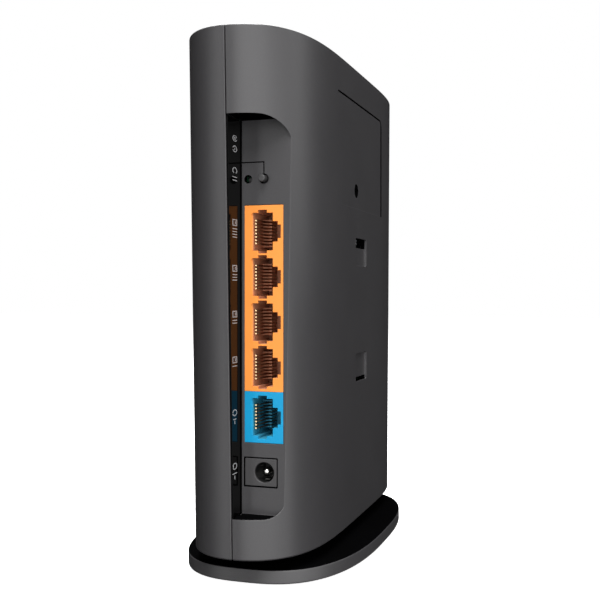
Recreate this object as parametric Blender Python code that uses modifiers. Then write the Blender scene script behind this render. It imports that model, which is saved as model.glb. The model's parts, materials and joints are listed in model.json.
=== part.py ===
"""Upright wireless router on an oval stand, modelled as the pieces it comes apart into.

Frame: the origin is on the standing surface, under the middle of the case. +Z is up,
+Y points to the back with the sockets, and -X to the side with the wall-bracket pockets.
Lengths are in metres.
"""

import math

import bmesh
import bpy
from mathutils import Matrix, Vector

MM = 0.001
GAP = 0.3 * MM

# Case: a prism with rounded ends whose depth grows evenly towards the top.
CASE_HALF_WIDTH = 22.5 * MM
CASE_HALF_DEPTH_BOTTOM = 70.5 * MM
CASE_HALF_DEPTH_TOP = 76.4 * MM
CASE_BOTTOM = 9.4 * MM
CASE_TOP = 171.0 * MM
CASE_WIDTH_POWER = 2.13
CASE_DEPTH_POWER = 4.8
CASE_SEGMENTS = 96
CAVITY_SEGMENTS = 48
CASE_EDGE = 0.5 * MM
WALL = 2.2 * MM
SEAM_HALF_GAP = 0.15 * MM
LIP_THICKNESS = 1.0 * MM
LIP_X = (-1.5 * MM, 2.0 * MM)
LIP_ROOT_X = (0.6 * MM, 1.7 * MM)

# Port recess, cut into the -X half from the seam outwards.
PANEL_Y = 64.0 * MM
PANEL_THICKNESS = 2.0 * MM
RECESS_FLOOR = 22.1 * MM
RECESS_CEILING = 144.5 * MM
RECESS_CORNER = 7.0 * MM
PANEL_INNER_X = -0.6 * MM

# Glossy strip beside the ports, let into the +X half.
STRIP_FACE_X = -0.3 * MM
STRIP_THICKNESS = 1.2 * MM
STRIP_RIM = 0.6 * MM
STRIP_INNER_Y = 60.9 * MM

# Modular sockets: 8-pole, ganged at the usual 13.97 mm pitch.
JACK_X = (-14.0 * MM, -1.7 * MM)
JACK_DEPTH = 21.0 * MM
SOCKET_DEPTH = 15.0 * MM
SOCKET_PITCH = 13.97 * MM
SOCKET_INNER_X = -4.1 * MM
SOCKET_WIDTH = 11.7 * MM
SOCKET_HEIGHT = 6.7 * MM
EAR_START = 1.8 * MM
EAR_END = 4.75 * MM
EAR_REACH = 0.86 * MM
SOCKET_TAPER = 0.05 * MM
LATCH_STEPS = ((1.6 * MM, 6.3 * MM), (1.0 * MM, 4.1 * MM))
LAN_PORTS = 4
LAN_TOP_CENTRE = 109.7 * MM
LAN_Z = (60.55 * MM, 117.7 * MM)
WAN_CENTRE = 52.45 * MM
WAN_Z = (44.7 * MM, 60.25 * MM)
CONTACTS = 8
CONTACT_PITCH = 1.02 * MM

# Power inlet.
POWER_CENTRE = (-8.0 * MM, 35.5 * MM)
POWER_X = (-12.0 * MM, -1.7 * MM)
POWER_HALF_HEIGHT = 4.2 * MM
POWER_MARGIN = 0.4 * MM
POWER_DEPTH = 14.0 * MM
POWER_BORE_RADIUS = 3.15 * MM
POWER_BORE_DEPTH = 10.0 * MM
POWER_PIN_RADIUS = 1.0 * MM

# Buttons.
BUTTON_Z = 126.0 * MM
WPS_X = -7.9 * MM
WPS_RADIUS = 1.1 * MM
WPS_HOLE_RADIUS = 1.45 * MM
WPS_PROUD = 2.3 * MM
RESET_X = -2.7 * MM
RESET_RADIUS = 0.75 * MM
RESET_HOLE_RADIUS = 1.2 * MM
RESET_TIP_Y = 62.0 * MM
SWITCH_FACE_Y = 57.0 * MM

# -X side wall.
LABEL_Y = (-31.0 * MM, 35.0 * MM)
LABEL_Z = (121.0 * MM, 159.2 * MM)
LABEL_FLOOR_X = -22.15 * MM
LABEL_CORNER = 3.5 * MM
POCKET_Y = (-5.8 * MM, 9.2 * MM)
POCKET_FLOOR_X = -21.75 * MM
UPPER_POCKET_Z = (100.6 * MM, 110.5 * MM)
LOWER_POCKET_Z = (58.8 * MM, 68.9 * MM)
UPPER_SLOT = 3.5 * MM
LOWER_SLOT = 1.5 * MM
CASE_SCREW_YZ = (8.1 * MM, 127.4 * MM)
CASE_SCREW_BORE = 2.45 * MM
CASE_SCREW_SEAT_X = -11.7 * MM

# Main board, parallel to the seam.
BOARD_X = (-1.4 * MM, 0.2 * MM)
BOARD_Y = (-60.0 * MM, 60.4 * MM)
BOARD_Z = (18.0 * MM, 158.0 * MM)
BOARD_SCREWS = [(y, z) for y in (50.0 * MM, -50.0 * MM) for z in (24.0 * MM, 151.0 * MM)]
BOARD_BOSS_RADIUS = 2.8 * MM

# Screws: head radius, head height, shank radius and length.
BOARD_SCREW_SIZE = (2.2 * MM, 1.4 * MM, 1.0 * MM, 7.0 * MM)
CASE_SCREW_SIZE = (2.1 * MM, 1.8 * MM, 1.3 * MM, 20.0 * MM)

# Status light guide in the front end.
LIGHT_Z = (112.0 * MM, 142.0 * MM)
LIGHT_HALF_WIDTH = 1.2 * MM
LIGHTS = 5
LIGHT_FIRST_Z = 116.0 * MM
LIGHT_PITCH = 5.5 * MM

# Vents.
VENT_WIDTH = 2.0 * MM
VENT_PITCH = 4.5 * MM
TOP_VENTS = 25
BOTTOM_VENTS = 15

# Stand.
STAND_HALF_WIDTH = 31.5 * MM
STAND_HALF_DEPTH = 61.5 * MM
STAND_CENTRE_Y = 1.5 * MM
STAND_POWER = 2.75
STAND_Z = (0.6 * MM, 5.0 * MM)
STAND_SEGMENTS = 72
NECK_HALF_WIDTH = 9.0 * MM
NECK_HALF_DEPTH = 46.0 * MM
NECK_TOP = CASE_BOTTOM - GAP
POST_Y = (-30.0 * MM, 30.0 * MM)
POST_HALF_SIZE = (4.5 * MM, 6.0 * MM)
POST_TOP = 14.3 * MM
POST_CLEARANCE = 0.5 * MM
FOOT_X = 20.0 * MM
FOOT_Y = 38.0 * MM
FOOT_RADIUS = 4.5 * MM
FOOT_THICKNESS = 1.2 * MM

parts = bpy.data.collections.new("wireless_router")
cutters = bpy.data.collections.new("cutters")
materials = {}

MATERIAL_VALUES = {
    # name: colour, roughness, metallic
    "charcoal_plastic": ((0.066, 0.064, 0.067), 0.48, 0.0),
    "stand_plastic": ((0.05, 0.049, 0.051), 0.5, 0.0),
    "gloss_black": ((0.006, 0.006, 0.006), 0.12, 0.0),
    "button_grey": ((0.09, 0.088, 0.09), 0.45, 0.0),
    "jack_orange": ((0.92, 0.36, 0.07), 0.4, 0.0),
    "jack_blue": ((0.005, 0.33, 0.72), 0.4, 0.0),
    "inlet_grey": ((0.07, 0.068, 0.07), 0.4, 0.0),
    "contact_gold": ((0.95, 0.7, 0.32), 0.25, 1.0),
    "nickel": ((0.75, 0.74, 0.72), 0.2, 1.0),
    "board_green": ((0.012, 0.12, 0.05), 0.45, 0.0),
    "chip_black": ((0.015, 0.015, 0.017), 0.5, 0.0),
    "heatsink_aluminium": ((0.7, 0.71, 0.72), 0.35, 1.0),
    "pad_grey": ((0.4, 0.42, 0.5), 0.8, 0.0),
    "shield_tin": ((0.72, 0.72, 0.7), 0.3, 1.0),
    "steel": ((0.55, 0.55, 0.56), 0.3, 1.0),
    "capacitor_sleeve": ((0.02, 0.03, 0.09), 0.35, 0.0),
    "lead_black": ((0.012, 0.012, 0.012), 0.5, 0.0),
    "rubber": ((0.02, 0.02, 0.021), 0.85, 0.0),
    "clear_guide": ((0.8, 0.85, 0.88), 0.15, 0.0),
    "led_white": ((0.9, 0.9, 0.82), 0.3, 0.0),
}


def clear_scene():
    for obj in list(bpy.data.objects):
        bpy.data.objects.remove(obj, do_unlink=True)
    for collection in (parts, cutters):
        bpy.context.scene.collection.children.link(collection)


def make_materials():
    for name, (colour, roughness, metallic) in MATERIAL_VALUES.items():
        material = bpy.data.materials.new(name)
        material.use_nodes = True
        shader = material.node_tree.nodes["Principled BSDF"]
        shader.inputs["Base Color"].default_value = (*colour, 1.0)
        shader.inputs["Roughness"].default_value = roughness
        shader.inputs["Metallic"].default_value = metallic
        materials[name] = material


# --- building blocks -------------------------------------------------------------


def place(obj, material):
    """Links a part to its collection with its material, or a cutter (no material) to the other."""
    if material is None:
        cutters.objects.link(obj)
        obj.hide_render = True
        obj.display_type = "WIRE"
    else:
        parts.objects.link(obj)
        obj.data.materials.append(materials[material])
    return obj


def object_from_bmesh(name, bm, material, location=(0, 0, 0)):
    mesh = bpy.data.meshes.new(name)
    bm.to_mesh(mesh)
    bm.free()
    obj = bpy.data.objects.new(name, mesh)
    obj.location = location
    return place(obj, material)


def box(name, low, high, material=None):
    """A box between two corners, with its origin at its centre."""
    low, high = Vector(low), Vector(high)
    bm = bmesh.new()
    bmesh.ops.create_cube(bm, size=1.0, matrix=Matrix.Diagonal((*(high - low), 1.0)))
    return object_from_bmesh(name, bm, material, (low + high) / 2)


def box_group(name, corners):
    """One cutter made of several boxes that don't touch."""
    bm = bmesh.new()
    for low, high in corners:
        low, high = Vector(low), Vector(high)
        size = Matrix.Diagonal((*(high - low), 1.0))
        bmesh.ops.create_cube(bm, size=1.0, matrix=Matrix.Translation((low + high) / 2) @ size)
    return object_from_bmesh(name, bm, None)


def cylinder(name, start, end, radius, material=None, segments=24):
    """A cylinder from one point to another."""
    start, end = Vector(start), Vector(end)
    turn = (end - start).to_track_quat("Z", "Y").to_matrix().to_4x4()
    bm = bmesh.new()
    bmesh.ops.create_cone(
        bm, cap_ends=True, segments=segments, radius1=radius, radius2=radius,
        depth=(end - start).length, matrix=turn,
    )
    obj = object_from_bmesh(name, bm, material, (start + end) / 2)
    shade_round(obj)
    return obj


def turned(name, profile, location, direction, material, steps=24):
    """A turned piece: (radius, height) points from top to bottom, its axis along direction."""
    bm = bmesh.new()
    points = [bm.verts.new((radius, 0.0, height)) for radius, height in profile]
    for first, second in zip(points, points[1:]):
        bm.edges.new((first, second))
    obj = object_from_bmesh(name, bm, material, location)
    obj.rotation_euler = Vector(direction).to_track_quat("Z", "Y").to_euler()
    screw = obj.modifiers.new("Screw", "SCREW")
    screw.steps = steps
    screw.render_steps = steps
    screw.use_merge_vertices = True
    screw.merge_threshold = 0.00001
    return obj


AXIS_TURNS = {
    "X": Matrix(((0, 0, 1), (1, 0, 0), (0, 1, 0))),
    "Y": Matrix(((1, 0, 0), (0, 0, -1), (0, 1, 0))),
    "Z": Matrix.Identity(3),
}


def extruded(name, points, axis, span, material=None):
    """A flat outline pushed out along an axis.

    The outline is (Y, Z) points along X, (X, Z) along Y and (X, Y) along Z. The result is a
    mesh, so that it can be cut or can cut.
    """
    curve = bpy.data.curves.new(name, "CURVE")
    curve.dimensions = "2D"
    curve.fill_mode = "BOTH"
    curve.extrude = (span[1] - span[0]) / 2
    spline = curve.splines.new("POLY")
    spline.points.add(len(points) - 1)
    for point, (across, up) in zip(spline.points, points):
        point.co = (across, up, 0.0, 1.0)
    spline.use_cyclic_u = True
    guide = bpy.data.objects.new(name + "_outline", curve)
    cutters.objects.link(guide)
    bpy.context.view_layer.update()
    mesh = bpy.data.meshes.new_from_object(guide.evaluated_get(bpy.context.evaluated_depsgraph_get()))
    bpy.data.objects.remove(guide, do_unlink=True)
    mesh.transform(AXIS_TURNS[axis].to_4x4())
    bm = bmesh.new()
    bm.from_mesh(mesh)
    bmesh.ops.remove_doubles(bm, verts=bm.verts, dist=0.00001)
    bmesh.ops.dissolve_limit(bm, angle_limit=0.001, verts=bm.verts, edges=bm.edges)
    bmesh.ops.recalc_face_normals(bm, faces=bm.faces)
    bpy.data.meshes.remove(mesh)
    location = Vector((0, 0, 0))
    location["XYZ".index(axis)] = (span[0] + span[1]) / 2
    return object_from_bmesh(name, bm, material, location)


def boolean(target, tool, operation):
    modifier = target.modifiers.new(tool.name, "BOOLEAN")
    modifier.operation = operation
    modifier.solver = "EXACT"
    modifier.object = tool


def cut(target, *tools):
    for tool in tools:
        boolean(target, tool, "DIFFERENCE")


def join(target, *tools):
    for tool in tools:
        boolean(target, tool, "UNION")


def bevel(obj, width, segments=2):
    modifier = obj.modifiers.new("Bevel", "BEVEL")
    modifier.width = width
    modifier.segments = segments
    modifier.limit_method = "ANGLE"
    modifier.angle_limit = math.radians(40)
    return obj


def shade_round(obj):
    obj.data.shade_smooth()
    obj.data.set_sharp_from_angle(angle=math.radians(35))


# --- outlines --------------------------------------------------------------------


def oval(half_x, half_y, power_x, power_y, segments, centre_y=0.0):
    """Superellipse |x/a|^power_x + |y/b|^power_y = 1."""
    points = []
    for step in range(segments):
        angle = 2 * math.pi * step / segments
        across, along = math.sin(angle), math.cos(angle)
        x = math.copysign(half_x * abs(across) ** (2 / power_x), across)
        y = math.copysign(half_y * abs(along) ** (2 / power_y), along)
        points.append((x, centre_y + y))
    return points


def rounded_rectangle(low, high, radius, steps=5):
    points = []
    corners = (
        (high[0] - radius, high[1] - radius, 0),
        (low[0] + radius, high[1] - radius, 90),
        (low[0] + radius, low[1] + radius, 180),
        (high[0] - radius, low[1] + radius, 270),
    )
    for centre_a, centre_b, start in corners:
        points += arc(centre_a, centre_b, radius, start, start + 90, steps)
    return points


def arc(centre_a, centre_b, radius, start, end, steps):
    angles = [math.radians(start + (end - start) * step / steps) for step in range(steps + 1)]
    return [(centre_a + radius * math.cos(angle), centre_b + radius * math.sin(angle)) for angle in angles]


def case_half_depth(z):
    rise = (z - CASE_BOTTOM) / (CASE_TOP - CASE_BOTTOM)
    return CASE_HALF_DEPTH_BOTTOM + rise * (CASE_HALF_DEPTH_TOP - CASE_HALF_DEPTH_BOTTOM)


def case_half_width(y, z):
    """Distance from the seam to the outer surface at one place."""
    share = 1 - (abs(y) / case_half_depth(z)) ** CASE_DEPTH_POWER
    return CASE_HALF_WIDTH * share ** (1 / CASE_WIDTH_POWER)


def case_solid(name, inset, span, segments, material=None):
    """The case's outer form, or the same form inset by a wall thickness."""
    depth = CASE_HALF_DEPTH_TOP - inset
    outline = oval(CASE_HALF_WIDTH - inset, depth, CASE_WIDTH_POWER, CASE_DEPTH_POWER, segments)
    solid = extruded(name, outline, "Z", span, material)
    for vertex in solid.data.vertices:
        z = vertex.co.z + solid.location.z
        vertex.co.y *= (case_half_depth(z) - inset) / depth
    return solid


# --- case ------------------------------------------------------------------------


def port_notch():
    """The recess behind which the port panel stands, with round outer corners."""
    reach = 0.6 * MM
    low_x = -case_half_width(PANEL_Y, RECESS_FLOOR) - reach + RECESS_CORNER
    high_x = -case_half_width(PANEL_Y, RECESS_CEILING) - reach + RECESS_CORNER
    outline = [(2 * MM, RECESS_FLOOR)]
    outline += reversed(arc(low_x, RECESS_FLOOR + RECESS_CORNER, RECESS_CORNER, 180, 270, 6))
    outline += reversed(arc(high_x, RECESS_CEILING - RECESS_CORNER, RECESS_CORNER, 90, 180, 6))
    outline.append((2 * MM, RECESS_CEILING))
    return extruded("cut_port_notch", outline, "Y", (PANEL_Y, CASE_HALF_DEPTH_TOP + 5 * MM))


def board_bosses():
    return [
        cylinder(f"keep_board_boss_{number}", (-25 * MM, y, z), (BOARD_X[0] - GAP, y, z), BOARD_BOSS_RADIUS)
        for number, (y, z) in enumerate(BOARD_SCREWS, 1)
    ]


def top_vents():
    corners = []
    for row in range(TOP_VENTS):
        y = (row - (TOP_VENTS - 1) / 2) * VENT_PITCH
        reach = case_half_width(y, CASE_TOP) - 6 * MM
        for side in (-1, 1):
            low_x, high_x = sorted((side * 2.5 * MM, side * reach))
            low = (low_x, y - VENT_WIDTH / 2, CASE_TOP - WALL - 1 * MM)
            corners.append((low, (high_x, y + VENT_WIDTH / 2, CASE_TOP + 1 * MM)))
    return box_group("cut_top_vents", corners)


def bottom_vents():
    corners = []
    for row in range(BOTTOM_VENTS):
        y = (row - (BOTTOM_VENTS - 1) / 2) * VENT_PITCH
        for side in (-1, 1):
            low_x, high_x = sorted((side * 11 * MM, side * 18 * MM))
            low = (low_x, y - VENT_WIDTH / 2, CASE_BOTTOM - 1 * MM)
            corners.append((low, (high_x, y + VENT_WIDTH / 2, CASE_BOTTOM + WALL + 1 * MM)))
    return box_group("cut_bottom_vents", corners)


def post_sockets():
    """Openings in the case's floor for the stand's two posts."""
    half_x = POST_HALF_SIZE[0] + POST_CLEARANCE
    half_y = POST_HALF_SIZE[1] + POST_CLEARANCE
    corners = []
    for y in POST_Y:
        low = (-half_x, y - half_y, CASE_BOTTOM - 1 * MM)
        corners.append((low, (half_x, y + half_y, CASE_BOTTOM + WALL + 1 * MM)))
    return box_group("cut_post_sockets", corners)


def light_opening():
    half = LIGHT_HALF_WIDTH + GAP
    low = (-half, -CASE_HALF_DEPTH_TOP - 5 * MM, LIGHT_Z[0])
    return box("cut_light_opening", low, (half, -66 * MM, LIGHT_Z[1]))


def case_ring(name, outer_inset, inner_inset, span):
    """A band of the case's form between two insets, over a span of X."""
    rings = []
    for suffix, inset in (("", outer_inset), ("_hollow", inner_inset)):
        heights = (CASE_BOTTOM + inset, CASE_TOP - inset)
        rings.append(case_solid(name + suffix, inset, heights, CAVITY_SEGMENTS))
    cut(rings[0], rings[1])
    slab = box(f"{name}_slab", (span[0], -90 * MM, 0), (span[1], 90 * MM, 180 * MM))
    boolean(rings[0], slab, "INTERSECT")
    return rings[0]


def seam_lip():
    """The tongue that closes the seam from inside, and the thicker root that holds it to the wall."""
    inner = WALL + GAP + LIP_THICKNESS
    lip = case_ring("add_lip", WALL + GAP, inner, LIP_X)
    root = case_ring("add_lip_root", WALL - GAP, inner + GAP, LIP_ROOT_X)
    recess_zone = box(
        "cut_lip_at_recess",
        (-5 * MM, PANEL_Y - PANEL_THICKNESS - GAP, RECESS_FLOOR - PANEL_THICKNESS - GAP),
        (5 * MM, 90 * MM, RECESS_CEILING + PANEL_THICKNESS + GAP),
    )
    post_zones = [
        box(
            f"cut_lip_at_post_{number}",
            (-5 * MM, y - POST_HALF_SIZE[1] - POST_CLEARANCE, 0),
            (5 * MM, y + POST_HALF_SIZE[1] + POST_CLEARANCE, POST_TOP + 2 * MM),
        )
        for number, y in enumerate(POST_Y, 1)
    ]
    join(lip, root)
    cut(lip, recess_zone, *post_zones)
    return lip


def make_port_half(shared_cuts):
    half = case_solid("port_case_half", 0.0, (CASE_BOTTOM, CASE_TOP), CASE_SEGMENTS, "charcoal_plastic")
    bevel(half, CASE_EDGE)
    shade_round(half)

    # Whatever is taken out of the cavity's cutter stays standing as a wall or a boss.
    cavity = case_solid("cut_port_cavity", WALL, (CASE_BOTTOM + WALL, CASE_TOP - WALL), CAVITY_SEGMENTS)
    recess_walls = box(
        "keep_recess_walls",
        (-30 * MM, PANEL_Y - PANEL_THICKNESS, RECESS_FLOOR - PANEL_THICKNESS),
        (5 * MM, 90 * MM, RECESS_CEILING + PANEL_THICKNESS),
    )
    screw_y, screw_z = CASE_SCREW_YZ
    sleeve = cylinder("keep_screw_sleeve", (-25 * MM, screw_y, screw_z), (-2 * MM, screw_y, screw_z), 4.2 * MM)
    cut(cavity, recess_walls, sleeve, *board_bosses())

    other_half = box(
        "cut_plain_side",
        (-SEAM_HALF_GAP, -90 * MM, 0),
        (40 * MM, 90 * MM, 180 * MM),
    )
    panel_edge = box(
        "cut_panel_edge",
        (PANEL_INNER_X, PANEL_Y - PANEL_THICKNESS - 1 * MM, RECESS_FLOOR),
        (2 * MM, PANEL_Y + 1 * MM, RECESS_CEILING),
    )
    cut(half, cavity, other_half, port_notch(), panel_edge)
    cut(half, *panel_openings(), *side_wall_cuts(), *screw_holes(), *shared_cuts)


def panel_openings():
    panel = (PANEL_Y - PANEL_THICKNESS - 1 * MM, PANEL_Y + 1 * MM)
    jack_hole = box(
        "cut_jack_opening",
        (JACK_X[0] - GAP, panel[0], WAN_Z[0] - GAP),
        (JACK_X[1] + GAP, panel[1], LAN_Z[1] + GAP),
    )
    half_height = POWER_HALF_HEIGHT + POWER_MARGIN
    power_hole = box(
        "cut_power_opening",
        (POWER_X[0] - POWER_MARGIN, panel[0], POWER_CENTRE[1] - half_height),
        (POWER_X[1] + POWER_MARGIN, panel[1], POWER_CENTRE[1] + half_height),
    )
    wps_hole = cylinder(
        "cut_wps_hole", (WPS_X, panel[0], BUTTON_Z), (WPS_X, panel[1], BUTTON_Z), WPS_HOLE_RADIUS, segments=20
    )
    reset_hole = cylinder(
        "cut_reset_hole",
        (RESET_X, panel[0], BUTTON_Z),
        (RESET_X, panel[1], BUTTON_Z),
        RESET_HOLE_RADIUS,
        segments=20,
    )
    return jack_hole, power_hole, wps_hole, reset_hole


def side_wall_cuts():
    """Label recess and the two wall-bracket pockets, each with a slot through the wall."""
    outside = -30 * MM
    label = extruded(
        "cut_label_recess",
        rounded_rectangle((LABEL_Y[0], LABEL_Z[0]), (LABEL_Y[1], LABEL_Z[1]), LABEL_CORNER),
        "X",
        (outside, LABEL_FLOOR_X),
    )
    through = -CASE_HALF_WIDTH + WALL + 1 * MM
    slots = {
        "upper": (UPPER_POCKET_Z[1] - UPPER_SLOT, UPPER_POCKET_Z[1]),
        "lower": (LOWER_POCKET_Z[0], LOWER_POCKET_Z[0] + LOWER_SLOT),
    }
    cuts = [label]
    for place_name, span in (("upper", UPPER_POCKET_Z), ("lower", LOWER_POCKET_Z)):
        slot = slots[place_name]
        floor = (POCKET_FLOOR_X, POCKET_Y[1], span[1])
        cuts.append(box(f"cut_{place_name}_pocket", (outside, POCKET_Y[0], span[0]), floor))
        far = (through, POCKET_Y[1], slot[1])
        cuts.append(box(f"cut_{place_name}_slot", (outside, POCKET_Y[0], slot[0]), far))
    return cuts


def screw_holes():
    """The deep case-screw hole seen from the -X side, and the pilots in the board bosses."""
    y, z = CASE_SCREW_YZ
    holes = [
        cylinder("cut_screw_head", (-30 * MM, y, z), (CASE_SCREW_SEAT_X, y, z), CASE_SCREW_BORE, segments=20),
        cylinder("cut_screw_shank", (-15 * MM, y, z), (0, y, z), 1.6 * MM, segments=16),
    ]
    for number, (boss_y, boss_z) in enumerate(BOARD_SCREWS, 1):
        start, end = (-8 * MM, boss_y, boss_z), (0, boss_y, boss_z)
        holes.append(cylinder(f"cut_board_pilot_{number}", start, end, 1.3 * MM, segments=12))
    return holes


def make_plain_half(shared_cuts):
    half = case_solid("plain_case_half", 0.0, (CASE_BOTTOM, CASE_TOP), CASE_SEGMENTS, "charcoal_plastic")
    bevel(half, CASE_EDGE)
    shade_round(half)

    cavity = case_solid("cut_plain_cavity", WALL, (CASE_BOTTOM + WALL, CASE_TOP - WALL), CAVITY_SEGMENTS)
    strip_back = STRIP_FACE_X + STRIP_THICKNESS + GAP
    strip_wall = box(
        "keep_strip_wall",
        (strip_back, 58 * MM, RECESS_FLOOR - PANEL_THICKNESS),
        (strip_back + PANEL_THICKNESS, 90 * MM, RECESS_CEILING + PANEL_THICKNESS),
    )
    y, z = CASE_SCREW_YZ
    screw_boss = cylinder("keep_screw_boss", (0.8 * MM, y, z), (25 * MM, y, z), 3.2 * MM)
    cut(cavity, strip_wall, screw_boss)

    other_half = box("cut_port_side", (-40 * MM, -90 * MM, 0), (SEAM_HALF_GAP, 90 * MM, 180 * MM))
    strip_bed = extruded(
        "cut_strip_bed",
        strip_outline(RECESS_FLOOR, RECESS_CEILING, STRIP_INNER_Y - 1 * MM, STRIP_RIM),
        "X",
        (-1 * MM, strip_back),
    )
    pilot = cylinder("cut_screw_pilot", (-1 * MM, y, z), (9 * MM, y, z), 1.6 * MM, segments=16)
    cut(half, cavity, other_half)
    join(half, seam_lip())
    cut(half, strip_bed, pilot, *shared_cuts)


def strip_outline(bottom, top, inner_y, margin):
    """(Y, Z) outline between a plumb inner edge and the slanting back end of the case."""
    return [
        (inner_y, bottom),
        (case_half_depth(bottom) - margin, bottom),
        (case_half_depth(top) - margin, top),
        (inner_y, top),
    ]


def make_label_strip():
    outline = strip_outline(RECESS_FLOOR + GAP, RECESS_CEILING - GAP, STRIP_INNER_Y, STRIP_RIM + GAP)
    extruded("port_label_strip", outline, "X", (STRIP_FACE_X, STRIP_FACE_X + STRIP_THICKNESS), "gloss_black")


def make_light_guide():
    """A bar flush with the case's front end, with one finger for each status light."""
    front = [
        (-case_half_depth(LIGHT_Z[0] + GAP) + GAP, LIGHT_Z[0] + GAP),
        (-case_half_depth(LIGHT_Z[1] - GAP) + GAP, LIGHT_Z[1] - GAP),
    ]
    back_y = -70 * MM
    finger_y = -60.8 * MM
    finger_half = 0.8 * MM
    outline = [*front, (back_y, front[1][1])]
    for number in reversed(range(LIGHTS)):
        z = LIGHT_FIRST_Z + number * LIGHT_PITCH
        outline += [
            (back_y, z + finger_half),
            (finger_y, z + finger_half),
            (finger_y, z - finger_half),
            (back_y, z - finger_half),
        ]
    outline.append((back_y, front[0][1]))
    extruded("status_light_guide", outline, "X", (-LIGHT_HALF_WIDTH, LIGHT_HALF_WIDTH), "clear_guide")
    for number in range(LIGHTS):
        z = LIGHT_FIRST_Z + number * LIGHT_PITCH
        low = (BOARD_X[1] + GAP, -59.6 * MM, z - 0.6 * MM)
        high = (low[0] + 0.7 * MM, -58.0 * MM, z + 0.6 * MM)
        box(f"status_led_{number + 1}", low, high, "led_white")


# --- stand -----------------------------------------------------------------------


def make_stand():
    outline = oval(
        STAND_HALF_WIDTH, STAND_HALF_DEPTH, STAND_POWER, STAND_POWER, STAND_SEGMENTS, STAND_CENTRE_Y
    )
    stand = extruded("stand_base", outline, "Z", STAND_Z, "stand_plastic")
    bevel(stand, CASE_EDGE)
    shade_round(stand)
    neck = extruded(
        "add_neck", oval(NECK_HALF_WIDTH, NECK_HALF_DEPTH, 2.5, 2.5, 40), "Z", (STAND_Z[1] - 1 * MM, NECK_TOP)
    )
    join(stand, neck)
    for number, y in enumerate(POST_Y, 1):
        low = (-POST_HALF_SIZE[0], y - POST_HALF_SIZE[1], STAND_Z[1])
        post = box(f"add_post_{number}", low, (POST_HALF_SIZE[0], y + POST_HALF_SIZE[1], POST_TOP))
        join(stand, post)
    places = [(side * FOOT_X, STAND_CENTRE_Y + end * FOOT_Y) for end in (-1, 1) for side in (-1, 1)]
    names = ("front_left", "front_right", "back_left", "back_right")
    for name, (x, y) in zip(names, places):
        seat_top = FOOT_THICKNESS + GAP
        seat = cylinder(f"cut_seat_{name}", (x, y, -1 * MM), (x, y, seat_top), FOOT_RADIUS + GAP, segments=28)
        cut(stand, seat)
        edge = 0.25 * MM
        profile = [
            (0, FOOT_THICKNESS),
            (FOOT_RADIUS, FOOT_THICKNESS),
            (FOOT_RADIUS, edge),
            (FOOT_RADIUS - edge, 0),
            (0, 0),
        ]
        turned(f"rubber_foot_{name}", profile, (x, y, 0), (0, 0, 1), "rubber", steps=28)


# --- sockets ---------------------------------------------------------------------


def socket_outline(centre_z):
    """(X, Z) outline of a modular socket, contacts on its +X side and latch at -X.

    It has an ear at each end, past which it narrows slightly towards the latch.
    """
    half = SOCKET_WIDTH / 2
    ear = half + EAR_REACH
    right = SOCKET_INNER_X
    left = right - SOCKET_HEIGHT
    upper = [(right, half), (right - EAR_START, half), (right - EAR_START, ear), (right - EAR_END, ear)]
    narrow = half - SOCKET_TAPER
    upper += [(right - EAR_END, narrow), (left, narrow)]
    edge = left
    for depth, width in LATCH_STEPS:
        upper += [(edge, width / 2), (edge - depth, width / 2)]
        edge -= depth
    lower = [(x, -z) for x, z in reversed(upper)]
    return [(x, centre_z + z) for x, z in upper + lower]


def make_jack(name, span, centres, material):
    low = (JACK_X[0], PANEL_Y - JACK_DEPTH, span[0])
    jack = box(name, low, (JACK_X[1], PANEL_Y, span[1]), material)
    for number, centre in enumerate(centres, 1):
        hollow = extruded(
            f"cut_{name}_{number}", socket_outline(centre), "Y", (PANEL_Y - SOCKET_DEPTH, PANEL_Y + 1 * MM)
        )
        cut(jack, hollow)


def make_contacts(name, centre_z):
    """Eight contact springs on their common carrier bar."""
    bar_back = PANEL_Y - SOCKET_DEPTH + GAP
    bar_front = bar_back + 1.5 * MM
    low = (SOCKET_INNER_X - 2.6 * MM, bar_back, centre_z - 4.4 * MM)
    bar = box(name, low, (SOCKET_INNER_X - GAP, bar_front, centre_z + 4.4 * MM), "contact_gold")
    tip_y = PANEL_Y - 2.0 * MM
    thickness = 0.35 * MM
    tip_x = SOCKET_INNER_X - 0.4 * MM
    root_x = SOCKET_INNER_X - 1.85 * MM
    outline = [
        (tip_x, tip_y),
        (tip_x - thickness, tip_y),
        (root_x - thickness, bar_front - 0.5 * MM),
        (root_x, bar_front - 0.5 * MM),
    ]
    for number in range(CONTACTS):
        z = centre_z + (number - (CONTACTS - 1) / 2) * CONTACT_PITCH
        spring = extruded(f"add_{name}_{number + 1}", outline, "Z", (z - 0.22 * MM, z + 0.22 * MM))
        join(bar, spring)


def make_sockets():
    lan_centres = [LAN_TOP_CENTRE - number * SOCKET_PITCH for number in range(LAN_PORTS)]
    make_jack("lan_jack_block", LAN_Z, lan_centres, "jack_orange")
    make_jack("wan_jack", WAN_Z, [WAN_CENTRE], "jack_blue")
    for number, centre in enumerate(lan_centres):
        make_contacts(f"lan_contacts_{LAN_PORTS - number}", centre)
    make_contacts("wan_contacts", WAN_CENTRE)


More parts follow.
